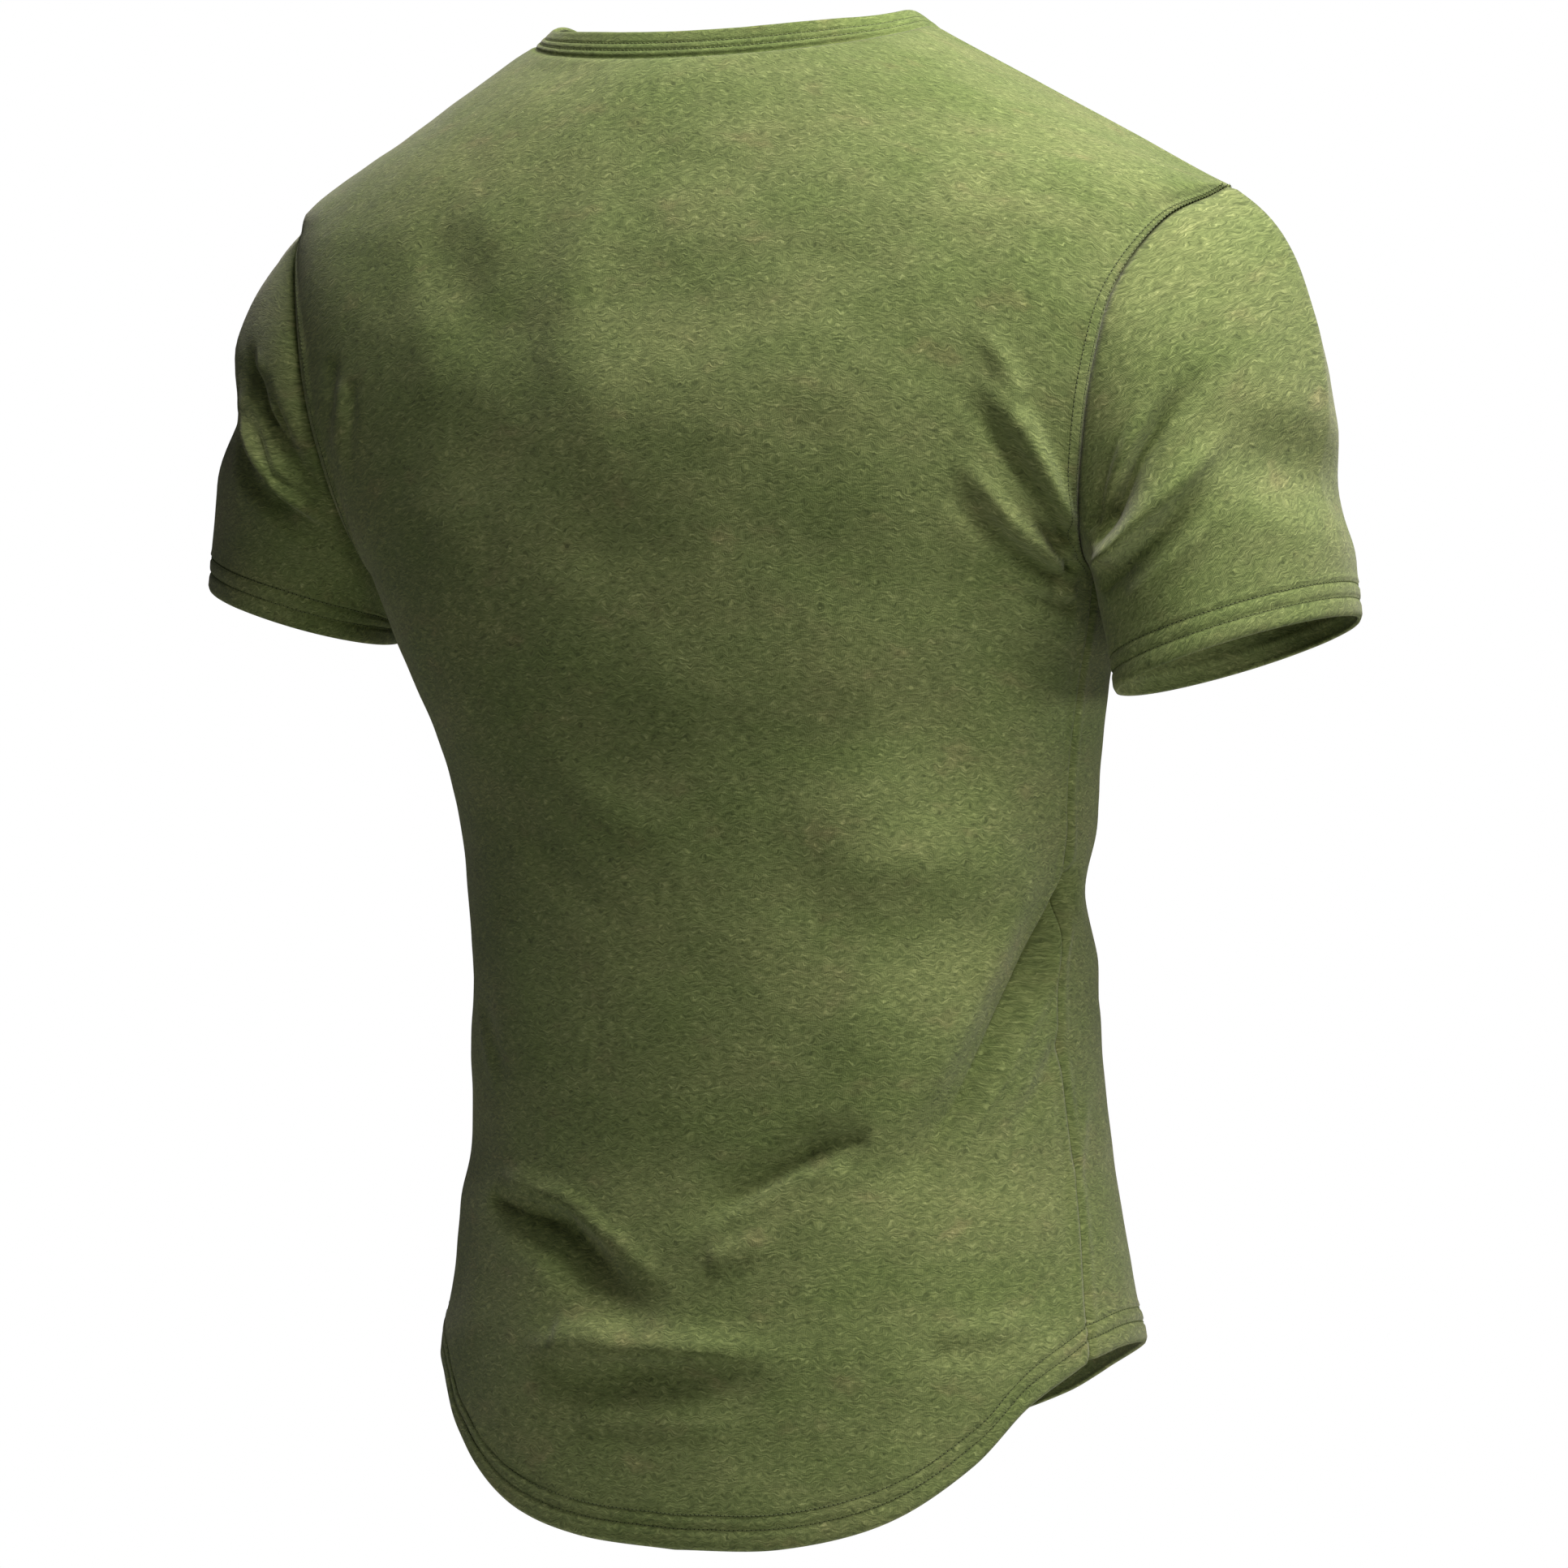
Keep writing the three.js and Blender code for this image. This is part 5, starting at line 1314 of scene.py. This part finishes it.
def strip_line(distances, rises):
    """A line of stitching on the upper strip, through places given across and up it."""
    distances, rises = np.broadcast_arrays(distances, rises)
    net_columns = np.interp(distances, aside[0], np.arange(aside.shape[1]))
    net_rows = np.interp(rises, rise[:, 0], np.arange(rise.shape[0]))
    path, outs = [], []
    for row, column in zip(net_rows, net_columns):
        i, j = min(int(row), points.shape[0] - 2), min(int(column), points.shape[1] - 2)
        a, b = row - i, column - j
        for source, made in ((points, path), (out, outs)):
            made.append(
                source[i, j] * (1 - a) * (1 - b) + source[i, j + 1] * (1 - a) * b
                + source[i + 1, j] * a * (1 - b) + source[i + 1, j + 1] * a * b
            )
    return np.array(path), unit(np.array(outs))


inner = STRIP_HALF - EDGE_STITCH
down_strip = np.linspace(rise.max() - TOP_STITCH, EDGE_STITCH, 90)
across_strip = np.linspace(-inner, inner, 20)
sewing = sewn("placket", [
    strip_line(inner, down_strip),
    strip_line(-inner, down_strip),
    strip_line(across_strip, EDGE_STITCH),
    strip_line(across_strip, BOX_STITCH),
])

place_rows = panels["front"]["points"][:, panels["front"]["share"].shape[1] // 2, 2]
floor_row = place_rows[place_rows < slot_bottom].max()
net, out, aside, rise = strip_net(SLOT_HALF - SEAM_GAP, floor_row + SEAM_GAP)
shape = grid_shape(net, np.stack([aside, rise], axis=-1))
turn_outward(shape, net, out)
under_strip = mesh_object("placket_under_strip", shape, placket_jersey)
thicken(under_strip, STRIP_CLOTH)
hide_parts("placket_under")


# Buttons
# Three small four-hole buttons of matt resin, turned with a raised rim and a shallow dish,
# sewn through both strips, each over an upright worked buttonhole.
BUTTON = {"radius": 5.6, "height": 2.4, "rim": 1.1, "dish": 0.6}
BUTTON_DROPS = (13, 59, 105)
BUTTON_EYES = {"count": 4, "radius": 0.62, "apart": 1.35}
BUTTONHOLE = {"length": 13.5, "bar": 2.6, "stitches": 34}
SIDEWAYS = np.array([1.0, 0, 0])

resin = bpy.data.materials.new("button_resin")
resin.use_nodes = True
resin_tree = resin.node_tree
resin_shader = resin_tree.nodes["Principled BSDF"]
resin_place = node(resin_tree, "ShaderNodeTexCoord", {})
resin_grain = node(resin_tree, "ShaderNodeTexNoise", {"Scale": 420.0, "Detail": 3.0, "Distortion": 1.2})
resin_tree.links.new(resin_place.outputs["Object"], resin_grain.inputs["Vector"])
resin_shade = node(resin_tree, "ShaderNodeMix", {"Factor": resin_grain.outputs["Fac"]}, data_type="RGBA")
resin_shade.inputs["A"].default_value = (0.075, 0.078, 0.042, 1)
resin_shade.inputs["B"].default_value = (0.150, 0.146, 0.090, 1)
resin_tree.links.new(resin_shade.outputs["Result"], resin_shader.inputs["Base Color"])
resin_shader.inputs["Roughness"].default_value = 0.38

for number, drop in enumerate(BUTTON_DROPS, start=1):
    level = np.array([-NECK_DROP["front"] - float(drop)])
    foot = form_point("front", np.zeros(1), level)[0]
    out = form_normal("front", np.zeros(1), level)[0]
    seat = foot + out * (LAY_GAP * 2 + STRIP_CLOTH)
    radius, height, rim, dish = (BUTTON[k] for k in ("radius", "height", "rim", "dish"))

    # from the middle of the underside, round the rim, to the middle of the dish
    outline = [
        (0.0, 0.0), (radius - rim, 0.0), (radius - 0.3, 0.35), (radius, 0.95), (radius, 1.5),
        (radius - 0.3, 2.1), (radius - 0.8, height), (radius - 1.4, height - 0.08),
        (radius - 2.1, height - dish + 0.1), (radius - 2.8, height - dish), (0.0, height - dish),
    ]
    shape = bmesh.new()
    verts = [shape.verts.new((across, 0, up)) for across, up in outline]
    edges = [shape.edges.new(pair) for pair in zip(verts, verts[1:])]
    bmesh.ops.spin(shape, geom=verts + edges, cent=(0, 0, 0), axis=(0, 0, 1), angle=2 * math.pi,
                   steps=48, use_merge=True)
    bmesh.ops.remove_doubles(shape, verts=shape.verts, dist=1e-4)
    bmesh.ops.recalc_face_normals(shape, faces=shape.faces)
    stand = Vector(out).to_track_quat("Z", "Y").to_matrix().to_4x4()
    seated = Matrix.Scale(MM, 4) @ Matrix.Translation(Vector(seat)) @ stand
    bmesh.ops.transform(shape, matrix=seated, verts=shape.verts)
    button = mesh_object(f"button_{number}_resin", shape, resin)
    drills = bmesh.new()
    for eye in range(BUTTON_EYES["count"]):
        turn = Matrix.Rotation(math.tau * (eye + 0.5) / BUTTON_EYES["count"], 4, "Z")
        away = turn @ Matrix.Translation((BUTTON_EYES["apart"], 0, 1))
        bmesh.ops.create_cone(drills, cap_ends=True, segments=16, radius1=BUTTON_EYES["radius"],
                              radius2=BUTTON_EYES["radius"], depth=6, matrix=seated @ away)
    drill_mesh = bpy.data.meshes.new("drills")
    drills.to_mesh(drill_mesh)
    drills.free()
    drill = bpy.data.objects.new("drills", drill_mesh)
    bpy.context.scene.collection.objects.link(drill)
    cut = button.modifiers.new("shade_dots", "BOOLEAN")
    cut.object = drill
    cut.solver = "EXACT"
    drilled = bpy.data.meshes.new_from_object(button.evaluated_get(bpy.context.evaluated_depsgraph_get()))
    button.modifiers.clear()
    button.data = drilled
    bpy.data.objects.remove(drill)
    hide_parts(f"button_{number}")

    # thread through the holes, and the worked buttonhole under the button
    middle = seat + out * (height - dish - 0.1)
    up_way = unit(np.cross(SIDEWAYS, out))
    eye_gap = BUTTON_EYES["apart"] * math.sin(math.pi / BUTTON_EYES["count"])
    bars = np.array([middle + side * eye_gap * SIDEWAYS for side in (-1, 1)])
    bar_bead = bead_shape(2 * eye_gap + 1.1, 0.42, 0.36, segments=8, rings=8)
    slot_seat = foot + out * (LAY_GAP + STRIP_CLOTH + 0.1)
    half_length = BUTTONHOLE["length"] / 2
    ends = np.linspace(-half_length, half_length, BUTTONHOLE["stitches"])
    rungs = np.concatenate([
        slot_seat + up_way * ends[:, None] + side * BUTTONHOLE["bar"] / 4 * SIDEWAYS for side in (-1, 1)
    ])
    rung_bead = bead_shape(BUTTONHOLE["bar"] / 2, 0.24, 0.26)
    tacks = np.array([slot_seat + up_way * side * (half_length + 0.4) for side in (-1, 1)])
    tack_bead = bead_shape(BUTTONHOLE["bar"] + 0.5, 0.5, 0.34)
    fastening = joined_beads(f"button_{number}_thread", [
        (bead, (places, np.broadcast_to(way, places.shape), np.broadcast_to(out, places.shape)))
        for bead, places, way in (
            (bar_bead, bars, up_way), (rung_bead, rungs, SIDEWAYS), (tack_bead, tacks, SIDEWAYS),
        )
    ], thread)
